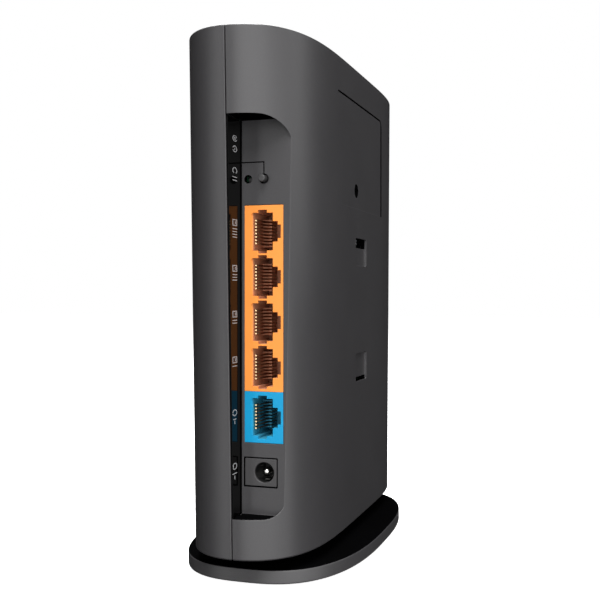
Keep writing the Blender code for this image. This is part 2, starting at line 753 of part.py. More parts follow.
def make_power_inlet():
    x, z = POWER_CENTRE
    low = (POWER_X[0], PANEL_Y - POWER_DEPTH, z - POWER_HALF_HEIGHT)
    inlet = box("power_inlet", low, (POWER_X[1], PANEL_Y, z + POWER_HALF_HEIGHT), "inlet_grey")
    bore_end = PANEL_Y - POWER_BORE_DEPTH
    bore = cylinder(
        "cut_power_bore", (x, bore_end, z), (x, PANEL_Y + 1 * MM, z), POWER_BORE_RADIUS, segments=32
    )
    cut(inlet, bore)
    length = POWER_BORE_DEPTH - GAP - 1.5 * MM
    tip = 0.4 * MM
    profile = [
        (0, length),
        (POWER_PIN_RADIUS - tip, length),
        (POWER_PIN_RADIUS, length - tip),
        (POWER_PIN_RADIUS, 0),
        (0, 0),
    ]
    turned("power_inlet_pin", profile, (x, bore_end + GAP, z), (0, 1, 0), "nickel", steps=20)
    low = (x - 0.75 * MM, bore_end + GAP, z - POWER_BORE_RADIUS + 0.5 * MM)
    box("power_inlet_spring", low, (x + 0.75 * MM, PANEL_Y - 3 * MM, low[2] + 0.35 * MM), "nickel")


# --- buttons ---------------------------------------------------------------------


def make_buttons():
    board_face = BOARD_X[0] - GAP
    back = SWITCH_FACE_Y - 6 * MM
    half_height = 4 * MM
    switch = box(
        "wps_switch",
        (-10.9 * MM, back, BUTTON_Z - half_height),
        (-4.6 * MM, SWITCH_FACE_Y, BUTTON_Z + half_height),
        "chip_black",
    )
    for number, side in enumerate((-1, 1), 1):
        low_z, high_z = sorted((BUTTON_Z + side * half_height, BUTTON_Z + side * 2.8 * MM))
        leg = box(f"add_switch_leg_{number}", (-5 * MM, back, low_z), (board_face, SWITCH_FACE_Y, high_z))
        join(switch, leg)
    box(
        "reset_switch",
        (-4.2 * MM, back + 2 * MM, BUTTON_Z - 1.8 * MM),
        (board_face, SWITCH_FACE_Y, BUTTON_Z + 1.8 * MM),
        "chip_black",
    )
    rear = SWITCH_FACE_Y + 0.6 * MM
    length = PANEL_Y + WPS_PROUD - rear
    flange_back = PANEL_Y - PANEL_THICKNESS - 1.4 * MM - rear
    flange_front = flange_back + 0.8 * MM
    edge = 0.25 * MM
    profile = [
        (0, length),
        (WPS_RADIUS - edge, length),
        (WPS_RADIUS, length - edge),
        (WPS_RADIUS, flange_front),
        (WPS_RADIUS + 0.8 * MM, flange_front),
        (WPS_RADIUS + 0.8 * MM, flange_back),
        (WPS_RADIUS, flange_back),
        (WPS_RADIUS, 0),
        (0, 0),
    ]
    turned("wps_button", profile, (WPS_X, rear, BUTTON_Z), (0, 1, 0), "button_grey")
    length = RESET_TIP_Y - rear
    profile = [(0, length), (RESET_RADIUS, length), (RESET_RADIUS, 0), (0, 0)]
    turned("reset_plunger", profile, (RESET_X, rear, BUTTON_Z), (0, 1, 0), "button_grey", steps=20)


# --- main board ------------------------------------------------------------------


def make_board():
    low = (BOARD_X[0], BOARD_Y[0], BOARD_Z[0])
    board = box("main_board", low, (BOARD_X[1], BOARD_Y[1], BOARD_Z[1]), "board_green")
    y, z = CASE_SCREW_YZ
    cut(board, cylinder("cut_board_centre", (-5 * MM, y, z), (5 * MM, y, z), 2.0 * MM, segments=20))
    for number, (y, z) in enumerate(BOARD_SCREWS, 1):
        cut(board, cylinder(f"cut_board_hole_{number}", (-5 * MM, y, z), (5 * MM, y, z), 1.3 * MM, segments=16))
        make_screw(f"board_screw_{number}", (BOARD_X[1] + GAP, y, z), (1, 0, 0), BOARD_SCREW_SIZE)
    make_screw("case_screw", (CASE_SCREW_SEAT_X - GAP, *CASE_SCREW_YZ), (-1, 0, 0), CASE_SCREW_SIZE)


def make_screw(name, seat, direction, size):
    """A pan-head screw whose head rises from the seat along direction."""
    head_radius, head_height, shank_radius, length = size
    profile = [
        (0, head_height),
        (head_radius * 0.8, head_height),
        (head_radius, head_height * 0.6),
        (head_radius, 0),
        (shank_radius, 0),
        (shank_radius, -length + shank_radius),
        (0, -length),
    ]
    turned(name, profile, seat, direction, "steel", steps=16)


def board_block(name, side, yz_low, yz_high, height, material, start=None):
    """A chip, can or module standing on one side of the board."""
    if side > 0:
        first = BOARD_X[1] + GAP if start is None else start
        low, high = (first, *yz_low), (first + height, *yz_high)
    else:
        first = BOARD_X[0] - GAP
        low, high = (first - height, *yz_low), (first, *yz_high)
    return box(name, low, high, material)


def make_board_parts():
    processor = board_block("processor", 1, (-35 * MM, 70 * MM), (-16 * MM, 89 * MM), 1.5 * MM, "chip_black")
    bevel(processor, 0.15 * MM, 1)
    pad_start = BOARD_X[1] + 1.5 * MM + 2 * GAP
    board_block("thermal_pad", 1, (-34 * MM, 71 * MM), (-17 * MM, 88 * MM), 0.7 * MM, "pad_grey", pad_start)
    make_heatsink(pad_start + 0.7 * MM + GAP)
    board_block("memory_chip", 1, (-31 * MM, 104 * MM), (-20 * MM, 113 * MM), 1.0 * MM, "chip_black")
    board_block("flash_chip", 1, (-8 * MM, 104 * MM), (0, 110 * MM), 1.6 * MM, "chip_black")
    for name, low, high in (
        ("wifi_shield_upper", (22 * MM, 96 * MM), (48 * MM, 120 * MM)),
        ("wifi_shield_lower", (22 * MM, 54 * MM), (48 * MM, 82 * MM)),
    ):
        can = board_block(name, 1, low, high, 3.0 * MM, "shield_tin")
        bevel(can, 0.4 * MM, 1)
    for name, low, high in (
        ("lan_transformer", (24 * MM, 70 * MM), (37 * MM, 110 * MM)),
        ("wan_transformer", (24 * MM, 46 * MM), (37 * MM, 59 * MM)),
    ):
        board_block(name, -1, low, high, 5.6 * MM, "chip_black")
    choke = board_block("power_inductor", -1, (10 * MM, 31 * MM), (18 * MM, 39 * MM), 4.0 * MM, "chip_black")
    bevel(choke, 0.6 * MM, 1)
    for number, y in enumerate((26 * MM, 37 * MM), 1):
        make_capacitor(f"capacitor_{number}", y, 35 * MM)


def make_heatsink(base_x):
    """A plate with upright fins, held over the processor."""
    low_y, high_y, low_z, high_z = -45 * MM, -6 * MM, 60 * MM, 100 * MM
    plate_top = base_x + 1.6 * MM
    fin_top = base_x + 9.0 * MM
    outline = [(high_y, base_x), (low_y, base_x)]
    fins, fin_width = 8, 1.2 * MM
    pitch = (high_y - low_y - fin_width) / (fins - 1)
    for number in range(fins):
        y = low_y + number * pitch
        if number:
            outline.append((y, plate_top))
        outline += [(y, fin_top), (y + fin_width, fin_top)]
        if number < fins - 1:
            outline.append((y + fin_width, plate_top))
    extruded("heatsink", [(x, y) for y, x in outline], "Z", (low_z, high_z), "heatsink_aluminium")


def make_capacitor(name, y, z):
    """An electrolytic capacitor standing on the -X side of the board."""
    radius, height, groove = 4.0 * MM, 11.0 * MM, 0.35 * MM
    profile = [
        (0, height),
        (radius - groove, height),
        (radius, height - groove),
        (radius, 2.2 * MM),
        (radius - groove, 1.8 * MM),
        (radius, 1.4 * MM),
        (radius, 0),
        (0, 0),
    ]
    turned(name, profile, (BOARD_X[0] - GAP, y, z), (-1, 0, 0), "capacitor_sleeve")


# --- antennas --------------------------------------------------------------------


def make_antennas():
    """Four flat antennas round the cavity, each with a thin lead to the board."""
    plates = {
        "top_back": ((11.6 * MM, 12 * MM, 160.5 * MM), (12.4 * MM, 50 * MM, 167.5 * MM)),
        "top_front": ((-12.4 * MM, -50 * MM, 160.5 * MM), (-11.6 * MM, -12 * MM, 167.5 * MM)),
        "front_upper": ((3 * MM, -64.6 * MM, 64 * MM), (10 * MM, -63.8 * MM, 104 * MM)),
        "front_lower": ((-10 * MM, -64.2 * MM, 30 * MM), (-3 * MM, -63.4 * MM, 70 * MM)),
    }
    for name, (low, high) in plates.items():
        box(f"antenna_{name}", low, high, "board_green")
    board_front = BOARD_X[1] + GAP + 0.6 * MM
    board_back = BOARD_X[0] - GAP - 0.6 * MM
    routes = {
        "top_back": [
            (11 * MM - GAP, 20 * MM, 162 * MM), (9 * MM, 19 * MM, 158 * MM), (6 * MM, 18 * MM, 150 * MM),
            (3 * MM, 18 * MM, 140 * MM), (board_front, 19 * MM, 132 * MM), (board_front, 24 * MM, 123 * MM),
        ],
        "top_front": [
            (-11 * MM + GAP, -20 * MM, 162 * MM), (-9 * MM, -19 * MM, 156 * MM), (-5 * MM, -18 * MM, 146 * MM),
            (board_back, -16 * MM, 134 * MM), (board_back, -6 * MM, 122 * MM), (board_back, 8 * MM, 116 * MM),
        ],
        "front_upper": [
            (7 * MM, -62.7 * MM, 66 * MM), (7 * MM, -61 * MM, 60 * MM), (5 * MM, -54 * MM, 54 * MM),
            (board_front, -40 * MM, 52 * MM), (board_front, -10 * MM, 52 * MM), (board_front, 16 * MM, 60 * MM),
        ],
        "front_lower": [
            (-7 * MM, -62.3 * MM, 66 * MM), (-6 * MM, -58 * MM, 72 * MM), (board_back, -48 * MM, 78 * MM),
            (board_back, -30 * MM, 78 * MM), (board_back, -8 * MM, 76 * MM), (board_back, 14 * MM, 76 * MM),
        ],
    }
    for name, route in routes.items():
        make_lead(f"antenna_lead_{name}", route)


def make_lead(name, route):
    """A 1.1 mm coaxial lead along a smooth curve through its route's points."""
    curve = bpy.data.curves.new(name, "CURVE")
    curve.dimensions = "3D"
    curve.bevel_depth = 0.55 * MM
    curve.bevel_resolution = 1
    curve.use_fill_caps = True
    points = smooth_points([Vector(point) for point in route], 3)
    spline = curve.splines.new("POLY")
    spline.points.add(len(points) - 1)
    for point, place_of_point in zip(spline.points, points):
        point.co = (*place_of_point, 1.0)
    place(bpy.data.objects.new(name, curve), "lead_black")


def smooth_points(route, pieces):
    """Catmull-Rom points through the route's own points."""
    ends = [2 * route[0] - route[1], *route, 2 * route[-1] - route[-2]]
    points = []
    for before, start, end, after in zip(ends, ends[1:], ends[2:], ends[3:]):
        for piece in range(pieces):
            t = piece / pieces
            points.append(
                0.5 * (2 * start + (end - before) * t
                       + (2 * before - 5 * start + 4 * end - after) * t ** 2
                       + (3 * start - before - 3 * end + after) * t ** 3)
            )
    return points + [route[-1]]


def main():
    clear_scene()
    make_materials()
    shared_cuts = (top_vents(), bottom_vents(), post_sockets(), light_opening())
    make_port_half(shared_cuts)
    make_plain_half(shared_cuts)
    make_label_strip()
    make_light_guide()
    make_stand()
    make_sockets()
    make_power_inlet()
    make_buttons()
    make_board()
    make_board_parts()
    make_antennas()


main()
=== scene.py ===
import json
import math

import bmesh
import bpy
from mathutils import Matrix, Vector


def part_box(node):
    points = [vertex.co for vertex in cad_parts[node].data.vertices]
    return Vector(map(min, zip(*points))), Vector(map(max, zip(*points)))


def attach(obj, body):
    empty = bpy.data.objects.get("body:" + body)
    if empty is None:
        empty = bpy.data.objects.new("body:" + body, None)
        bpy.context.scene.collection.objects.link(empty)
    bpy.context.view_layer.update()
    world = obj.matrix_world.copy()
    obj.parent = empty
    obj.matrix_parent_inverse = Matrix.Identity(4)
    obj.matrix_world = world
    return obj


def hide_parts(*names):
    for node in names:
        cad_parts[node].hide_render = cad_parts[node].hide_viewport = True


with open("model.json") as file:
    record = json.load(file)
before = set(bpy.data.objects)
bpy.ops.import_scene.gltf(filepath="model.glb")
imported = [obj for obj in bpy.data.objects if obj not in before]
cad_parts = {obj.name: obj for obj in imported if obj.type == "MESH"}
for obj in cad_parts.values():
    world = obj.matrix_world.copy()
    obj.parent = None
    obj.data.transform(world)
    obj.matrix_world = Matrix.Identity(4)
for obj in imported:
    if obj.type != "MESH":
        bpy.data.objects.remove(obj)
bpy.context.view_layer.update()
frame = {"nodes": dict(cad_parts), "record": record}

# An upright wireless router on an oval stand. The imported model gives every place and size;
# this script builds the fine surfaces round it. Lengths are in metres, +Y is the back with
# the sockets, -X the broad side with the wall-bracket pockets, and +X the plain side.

MM = 0.001
MATERIALS = {}

# Case: superellipse in plan, whose half depth grows evenly from bottom to top.
CASE_LOW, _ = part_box("port_case_half")
_, CASE_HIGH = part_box("plain_case_half")
CASE_HALF_WIDTH = CASE_HIGH.x
CASE_HALF_DEPTH_TOP = CASE_HIGH.y
CASE_HALF_DEPTH_BOTTOM = CASE_HALF_DEPTH_TOP - 5.9 * MM
CASE_BOTTOM, CASE_TOP = CASE_LOW.z, CASE_HIGH.z
WIDTH_POWER = 2.13
DEPTH_POWER = 4.8
WALL = 2.2 * MM
RIM_RADIUS = 0.55 * MM
SEAM_X = 0.15 * MM
SEAM_RADIUS = 0.22 * MM
WALL_POINTS = 121
WALL_LEVELS = 12

# Port recess and its panel.
PANEL_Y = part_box("lan_jack_block")[1].y
PANEL_THICKNESS = 2.0 * MM
RECESS_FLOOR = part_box("port_label_strip")[0].z - 0.3 * MM
RECESS_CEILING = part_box("port_label_strip")[1].z + 0.3 * MM
RECESS_CORNER_TOP = 7.6 * MM
RECESS_CORNER_BOTTOM = 5.0 * MM
RECESS_FILLET = 0.6 * MM
PANEL_INNER_X = -0.6 * MM
HOLE_EDGE = 0.15 * MM
JACK_GAP = 0.22 * MM
POWER_GAP = 0.34 * MM
BUTTON_HOLE = 1.45 * MM
RESET_HOLE = 1.2 * MM

# Side wall with the label recess, the screw hole and the two bracket pockets.
LABEL_LOW = (-31.0 * MM, 121.0 * MM)
LABEL_HIGH = (35.0 * MM, 159.2 * MM)
LABEL_FLOOR_X = -CASE_HALF_WIDTH + 0.1 * MM
LABEL_CORNER = 3.5 * MM
LABEL_GROOVE_WIDTH = 0.6 * MM
LABEL_GROOVE_FRONT = 2.0 * MM
LABEL_GROOVE_DEPTH = 1.2 * MM
POCKET_Y = (-5.8 * MM, 9.2 * MM)
POCKET_FLOOR_X = -CASE_HALF_WIDTH + 0.75 * MM
POCKET_CORNER = 0.45 * MM
UPPER_POCKET_Z = (100.6 * MM, 110.5 * MM)
LOWER_POCKET_Z = (58.8 * MM, 68.9 * MM)
UPPER_SLOT = 3.5 * MM
LOWER_SLOT = 1.5 * MM
SLEEVE_RADIUS = 2.45 * MM

# Vent slots in the top and the bottom, and the stand's two posts in their openings.
VENT_WIDTH = 2.0 * MM
VENT_PITCH = 4.5 * MM
TOP_VENTS = 25
BOTTOM_VENTS = 15
POST_PLACES = (-30 * MM, 30 * MM)
POST_HALF_X, POST_HALF_Y = 4.5 * MM, 6 * MM
POST_HOLE_X, POST_HOLE_Y = 5 * MM, 6.5 * MM
PLATE_TOP = 5.0 * MM

# Modular sockets, with X and Z measured across the panel and depth along Y.
SOCKET_WIDTH = 11.7 * MM
SOCKET_HEIGHT = 6.7 * MM
SOCKET_INNER_X = -4.1 * MM
SOCKET_DEPTH = 15.0 * MM
EAR_START, EAR_END, EAR_REACH = 1.8 * MM, 4.75 * MM, 0.86 * MM
LATCH_STEPS = ((1.6 * MM, 6.3 * MM), (1.0 * MM, 4.1 * MM))
CONTACT_PITCH = 1.02 * MM
CONTACTS = 8

# Printed marks on the strip: their size across and along it, and the two line widths.
MARK_HEIGHT = 3.6 * MM
MARK_WIDTH = 2.0 * MM
MARK_STROKE = 0.5 * MM
MARK_LINE = 0.26 * MM

# Tall strip lights stand in a ring round the router's back, ten degrees apart, with smaller
# ones nearer and higher beside its broad side. One big softbox hangs above the back and one
# above the front. Angles run from +Y towards -X.
LIGHT_TARGET = Vector((0, 0, 90 * MM))
LIGHT_STEP = 10
BACK_LIGHT = {"elevation": 0, "distance": 1.1, "size": (0.2, 1.2)}
SIDE_LIGHT = {"elevation": 25, "distance": 0.6, "size": (0.12, 0.5)}
TOP_LIGHT = {"elevation": 60, "distance": 1.1, "size": (0.8, 0.8)}
FRONT_LIGHT = {"elevation": 65, "distance": 1.2, "size": (0.5, 0.5)}
# First angle, last angle, watts of each light, and its kind.
LIGHT_BANKS = (
    (-50, -40, 0.55, BACK_LIGHT), (-30, -30, 1.95, BACK_LIGHT), (0, 60, 1.95, BACK_LIGHT),
    (70, 90, 1.35, BACK_LIGHT), (100, 120, 0.24, SIDE_LIGHT), (20, 20, 30.0, TOP_LIGHT),
    (215, 215, 26.0, FRONT_LIGHT),
)
SURROUNDINGS = 0.002
FLOOR_HALF_SIZE = 3.0

# The camera looks level, from behind and from the broad side.
CAMERA_PLACE = (-108.9 * MM, 332.4 * MM, 91.1 * MM)
CAMERA_TURN = math.radians(18.4)
CAMERA_LENS = 55.86
CAMERA_SHIFT = -0.0133

# --- mesh helpers ----------------------------------------------------------------


def new_object(name, bm):
    mesh = bpy.data.meshes.new(name)
    bm.normal_update()
    bm.to_mesh(mesh)
    bm.free()
    obj = bpy.data.objects.new(name, mesh)
    bpy.context.scene.collection.objects.link(obj)
    return obj


def add_stack(bm, rings):
    """Adds a closed body through rings that have the same number of points."""
    loops = [[bm.verts.new(point) for point in ring] for ring in rings]
    count = len(loops[0])
    faces = []
    for lower, upper in zip(loops, loops[1:]):
        for i in range(count):
            j = (i + 1) % count
            faces.append(bm.faces.new((lower[i], lower[j], upper[j], upper[i])))
    faces.append(bm.faces.new(list(reversed(loops[0]))))
    faces.append(bm.faces.new(loops[-1]))
    bmesh.ops.recalc_face_normals(bm, faces=faces)


def stack(name, rings):
    bm = bmesh.new()
    add_stack(bm, rings)
    return new_object(name, bm)


def signed_area(outline):
    pairs = zip(outline, outline[1:] + outline[:1])
    return sum(a[0] * b[1] - b[0] * a[1] for a, b in pairs) / 2


def grow(outline, amount):
    """The outline with every side moved outwards by amount."""
    turn = 1 if signed_area(outline) > 0 else -1
    grown = []
    for index, point in enumerate(outline):
        before = Vector(outline[index - 1])
        here = Vector(point)
        after = Vector(outline[(index + 1) % len(outline)])
        first = (here - before).normalized()
        second = (after - here).normalized()
        normal_a = Vector((first.y, -first.x)) * turn
        normal_b = Vector((second.y, -second.x)) * turn
        mitre = (normal_a + normal_b) / (1 + normal_a.dot(normal_b))
        grown.append(tuple(here + mitre * amount))
    return grown


PLACERS = {
    "X": lambda point, along: (along, point[0], point[1]),
    "Y": lambda point, along: (point[0], along, point[1]),
    "Z": lambda point, along: (point[0], point[1], along),
}


def rings_along(outline, axis, levels):
    """Rings of one outline, grown by the second number of each (place, growth) level."""
    put = PLACERS[axis]
    rings = []
    for along, growth in levels:
        shape = grow(outline, growth) if growth else outline
        rings.append([put(point, along) for point in shape])
    return rings


def round_levels(start, end, start_radius=0.0, end_radius=0.0, steps=4):
    """Levels of a straight body from start to end whose two rims are rounded off."""
    direction = 1 if end > start else -1
    levels = []
    for step in range(steps + 1):
        angle = math.pi / 2 * step / steps
        if start_radius or step == steps:
            along = start + direction * start_radius * (1 - math.cos(angle))
            levels.append((along, -start_radius * (1 - math.sin(angle))))
    for step in range(steps + 1):
        angle = math.pi / 2 * (1 - step / steps)
        if end_radius or step == steps:
            along = end - direction * end_radius * (1 - math.cos(angle))
            levels.append((along, -end_radius * (1 - math.sin(angle))))
    return levels


def flare_levels(deep, surface, radius, outside, steps=4):
    """Levels of a cutter whose hole gets a rounded edge where it meets the surface."""
    direction = 1 if surface > deep else -1
    surface += direction * 0.006 * MM
    levels = [(deep, 0.0)]
    for step in range(steps + 1):
        angle = math.pi / 2 * step / steps
        along = surface - direction * radius * (1 - math.sin(angle))
        levels.append((along, radius * (1 - math.cos(angle))))
    levels.append((surface + direction * outside, radius))
    return levels


def rounded_body(name, outline, axis, start, end, start_radius=0.0, end_radius=0.0):
    return stack(name, rings_along(outline, axis, round_levels(start, end, start_radius, end_radius)))


def flared_cutter(outline, axis, deep, surface, radius, outside=2 * MM):
    return stack("cutter", rings_along(outline, axis, flare_levels(deep, surface, radius, outside)))


def prism(outline, axis, start, end):
    """A plain cutter with straight walls."""
    return stack("cutter", rings_along(outline, axis, [(start, 0.0), (end, 0.0)]))


def add_box(bm, low, high):
    low, high = Vector(low), Vector(high)
    size = Matrix.Diagonal((*(high - low), 1.0))
    bmesh.ops.create_cube(bm, size=1.0, matrix=Matrix.Translation((low + high) / 2) @ size)


def box_body(name, *corners):
    """One object made of boxes given by (low, high) corners."""
    bm = bmesh.new()
    for low, high in corners:
        add_box(bm, low, high)
    return new_object(name, bm)


def circle(centre, radius, steps=32):
    angles = [2 * math.pi * step / steps for step in range(steps)]
    return [(centre[0] + radius * math.cos(a), centre[1] + radius * math.sin(a)) for a in angles]


def arc(centre, radius, start, end, steps):
    angles = [math.radians(start + (end - start) * step / steps) for step in range(steps + 1)]
    return [(centre[0] + radius * math.cos(a), centre[1] + radius * math.sin(a)) for a in angles]


def rotated(point, angle, centre):
    """The point turned about the origin, then moved to the centre."""
    a, b = point
    cosine, sine = math.cos(angle), math.sin(angle)
    return (centre[0] + a * cosine - b * sine, centre[1] + a * sine + b * cosine)


def rounded_rectangle(low, high, radius, steps=6):
    points = []
    corners = (
        ((high[0] - radius, high[1] - radius), 0),
        ((low[0] + radius, high[1] - radius), 90),
        ((low[0] + radius, low[1] + radius), 180),
        ((high[0] - radius, low[1] + radius), 270),
    )
    for centre, start in corners:
        points += arc(centre, radius, start, start + 90, steps)
    return points


def box_outline(low, high, gap, radius, steps=6):
    """The rounded (X, Z) outline of a box, grown by a gap."""
    return rounded_rectangle((low.x - gap, low.z - gap), (high.x + gap, high.z + gap), radius, steps)


def superellipse(half_a, half_b, power_a, power_b, centre_b=0.0, steps=200):
    points = []
    for step in range(steps):
        angle = 2 * math.pi * step / steps
        a, b = math.sin(angle), math.cos(angle)
        points.append((
            math.copysign(half_a * abs(a) ** (2 / power_a), a),
            centre_b + math.copysign(half_b * abs(b) ** (2 / power_b), b),
        ))
    return points


def turned(name, profile, centre, direction, steps=40):
    """A turned piece from (radius, height) points, its height running along direction."""
    turn = Vector(direction).to_track_quat("Z", "Y").to_matrix()
    rings = []
    for radius, height in profile:
        ring = [turn @ Vector((x, y, height)) + Vector(centre) for x, y in circle((0, 0), radius, steps)]
        rings.append(ring)
    return stack(name, rings)


def settle(obj):
    """Makes the object's modifiers part of its mesh."""
    graph = bpy.context.evaluated_depsgraph_get()
    mesh = bpy.data.meshes.new_from_object(obj.evaluated_get(graph))
    old = obj.data
    obj.modifiers.clear()
    obj.data = mesh
    bpy.data.meshes.remove(old)


def combine(obj, tool, operation="DIFFERENCE"):
    """Cuts or joins with an exact Boolean and uses the tool up."""
    modifier = obj.modifiers.new("combine", "BOOLEAN")
    modifier.operation = operation
    modifier.solver = "EXACT"
    modifier.material_mode = "TRANSFER" if obj.data.materials else "INDEX"
    modifier.object = tool
    settle(obj)
    bpy.data.objects.remove(tool, do_unlink=True)


def cut(obj, *tools):
    for tool in tools:
        combine(obj, tool)


def paint_shade_black(obj, chosen=lambda face: True):
    """Paints chosen faces near-black as painted shade for deep, unlit places; a cutter leaves it on its
    walls.
    """
    if not obj.data.materials:
        obj.data.materials.append(MATERIALS["charcoal_plastic"])
    obj.data.materials.append(MATERIALS["painted_shade_black"])
    for face in obj.data.polygons:
        if chosen(face):
            face.material_index = len(obj.data.materials) - 1
    return obj


def smooth(obj, angle=32):
    """Smooth shading with true edges kept, weighted so that flat faces stay flat."""
    obj.data.shade_smooth()
    obj.data.set_sharp_from_angle(angle=math.radians(angle))
    weighted = obj.modifiers.new("Weighted normals", "WEIGHTED_NORMAL")
    weighted.keep_sharp = True
    return obj


# --- case ------------------------------------------------------------------------


def half_depth(z):
    rise = (z - CASE_BOTTOM) / (CASE_TOP - CASE_BOTTOM)
    return CASE_HALF_DEPTH_BOTTOM + rise * (CASE_HALF_DEPTH_TOP - CASE_HALF_DEPTH_BOTTOM)


def half_width(y, z, inset=0.0):
    """Distance from the seam plane to the case's surface."""
    share = max(0.0, 1 - (abs(y) / (half_depth(z) - inset)) ** DEPTH_POWER)
    return (CASE_HALF_WIDTH - inset) * share ** (1 / WIDTH_POWER)


def half_ring(side, z, inset, seam_x, corner):
    """One level of a half case: the outer curve, and a straight seam with rounded corners."""
    width = CASE_HALF_WIDTH - inset
    depth = half_depth(z) - inset
    start = math.asin(((seam_x + corner) / width) ** (WIDTH_POWER / 2))
    curve = []
    for step in range(WALL_POINTS):
        angle = start + (math.pi - 2 * start) * step / (WALL_POINTS - 1)
        x = width * math.sin(angle) ** (2 / WIDTH_POWER)
        y = math.copysign(depth * abs(math.cos(angle)) ** (2 / DEPTH_POWER), math.cos(angle))
        curve.append((x, y))
    back_y = curve[0][1]
    back = arc((seam_x + corner, back_y - corner), corner, 180, 90, 4)[:-1]
    front = arc((seam_x + corner, -back_y + corner), corner, 270, 180, 4)[1:]
    return [(side * x, y, z) for x, y in back + curve + front]


def half_case(name, side):
    rings = []
    for along, growth in round_levels(CASE_BOTTOM, CASE_TOP, RIM_RADIUS, RIM_RADIUS):
        rings.append((along, -growth))
    middle = len(rings) // 2
    low_z, high_z = rings[middle - 1][0], rings[middle][0]
    inner = [(low_z + (high_z - low_z) * step / WALL_LEVELS, 0.0) for step in range(1, WALL_LEVELS)]
    rings[middle:middle] = inner
    body = []
    for z, inset in rings:
        seam_x = SEAM_X + inset * SEAM_RADIUS / RIM_RADIUS
        body.append(half_ring(side, z, inset, seam_x, SEAM_RADIUS))
    return stack(name, body)


def cavity(side, inset=WALL, seam_x=-4 * MM):
    """The room inside the wall, running past the seam plane."""
    rings = []
    steps = 64
    for z in (CASE_BOTTOM + inset, CASE_TOP - inset):
        width, depth = CASE_HALF_WIDTH - inset, half_depth(z) - inset
        ring = []
        for step in range(steps):
            angle = math.pi * step / (steps - 1)
            across = width * math.sin(angle) ** (2 / WIDTH_POWER) if 0 < step < steps - 1 else 0.0
            along = math.copysign(depth * abs(math.cos(angle)) ** (2 / DEPTH_POWER), math.cos(angle))
            ring.append((side * across, along, z))
        ring += [(side * seam_x, ring[-1][1], z), (side * seam_x, ring[0][1], z)]
        rings.append(ring)
    return stack("cavity", rings)


def notch_cutter():
    """The port recess: flat panel, ceiling and floor with small fillets between them; ceiling and floor
    are painted black as painted shade.
    """
    reach, past_seam, steps = 0.05 * MM, 3 * MM, 8
    low, high = RECESS_FLOOR + RECESS_CORNER_BOTTOM, RECESS_CEILING - RECESS_CORNER_TOP
    heights = [low + (high - low) * step / steps for step in range(steps + 1)]
    side = [(-half_width(PANEL_Y, z) - reach, z) for z in heights]
    outline = [(past_seam, RECESS_FLOOR)]
    outline += arc((side[0][0] + RECESS_CORNER_BOTTOM, low), RECESS_CORNER_BOTTOM, 270, 180, 14)
    outline += side[1:-1]
    outline += arc((side[-1][0] + RECESS_CORNER_TOP, high), RECESS_CORNER_TOP, 180, 90, 14)
    outline.append((past_seam, RECESS_CEILING))
    levels = round_levels(PANEL_Y, CASE_HALF_DEPTH_TOP + 5 * MM, RECESS_FILLET)
    rings = []
    for y, growth in levels:
        floor, ceiling = RECESS_FLOOR - growth, RECESS_CEILING + growth
        rings.append([(x, y, min(max(z, floor), ceiling)) for x, z in outline])
    notch = stack("cutter", rings)
    # The ceiling and floor faces carry the painted shade black.
    return paint_shade_black(notch, lambda face: abs(face.normal.z) > 0.3)


def vent_cutters():
    """Slots with round ends and rounded edges in the top and the bottom."""
    bm = bmesh.new()
    edge, half = 0.3 * MM, VENT_WIDTH / 2
    radius = half - 0.01 * MM
    rows = [(CASE_TOP, TOP_VENTS, 2.5 * MM, None), (CASE_BOTTOM, BOTTOM_VENTS, 11 * MM, 18 * MM)]
    for surface, count, near_x, far_x in rows:
        inwards = -1 if surface == CASE_TOP else 1
        levels = flare_levels(surface + inwards * (WALL + 1 * MM), surface, edge, 1 * MM)
        for row in range(count):
            y = (row - (count - 1) / 2) * VENT_PITCH
            reach = far_x or half_width(y, CASE_TOP) - 6 * MM
            for side in (-1, 1):
                low_x, high_x = sorted((side * near_x, side * reach))
                slot = rounded_rectangle((low_x, y - half), (high_x, y + half), radius, 5)
                add_stack(bm, rings_along(slot, "Z", levels))
    return new_object("cutter", bm)


def post_cutters():
    """Openings in the case's floor round the stand's two posts."""
    bm = bmesh.new()
    levels = flare_levels(CASE_BOTTOM + WALL + 1 * MM, CASE_BOTTOM, 0.3 * MM, 1 * MM)
    for y in POST_PLACES:
        hole = rounded_rectangle(
            (-POST_HOLE_X, y - POST_HOLE_Y), (POST_HOLE_X, y + POST_HOLE_Y), 0.8 * MM
        )
        add_stack(bm, rings_along(hole, "Z", levels))
    return new_object("cutter", bm)


def light_cutter():
    hole = box_outline(*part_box("status_light_guide"), 0.2 * MM, 0.6 * MM)
    return prism(hole, "Y", -90 * MM, -66 * MM)


def cut_both_halves(half):
    cut(half, vent_cutters(), post_cutters(), light_cutter())


def box_centre(node):
    low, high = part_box(node)
    return (low + high) / 2


def panel_holes():
    deep = PANEL_Y - PANEL_THICKNESS - 1 * MM
    lan_low, lan_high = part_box("lan_jack_block")
    wan_low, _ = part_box("wan_jack")
    jacks = rounded_rectangle(
        (lan_low.x - JACK_GAP, wan_low.z - JACK_GAP), (lan_high.x + JACK_GAP, lan_high.z + JACK_GAP),
        0.3 * MM, 3,
    )
    button = box_centre("wps_button")
    reset = box_centre("reset_plunger")
    holes = [
        box_outline(*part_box("power_inlet"), POWER_GAP, 0.25 * MM, 3),
        circle((button.x, button.z), BUTTON_HOLE, 36),
        circle((reset.x, reset.z), RESET_HOLE, 32),
    ]
    # The inlet and button holes get walls painted black: painted shade.
    cutters = [paint_shade_black(flared_cutter(hole, "Y", deep, PANEL_Y, HOLE_EDGE)) for hole in holes]
    return [flared_cutter(jacks, "Y", deep, PANEL_Y, HOLE_EDGE), *cutters]


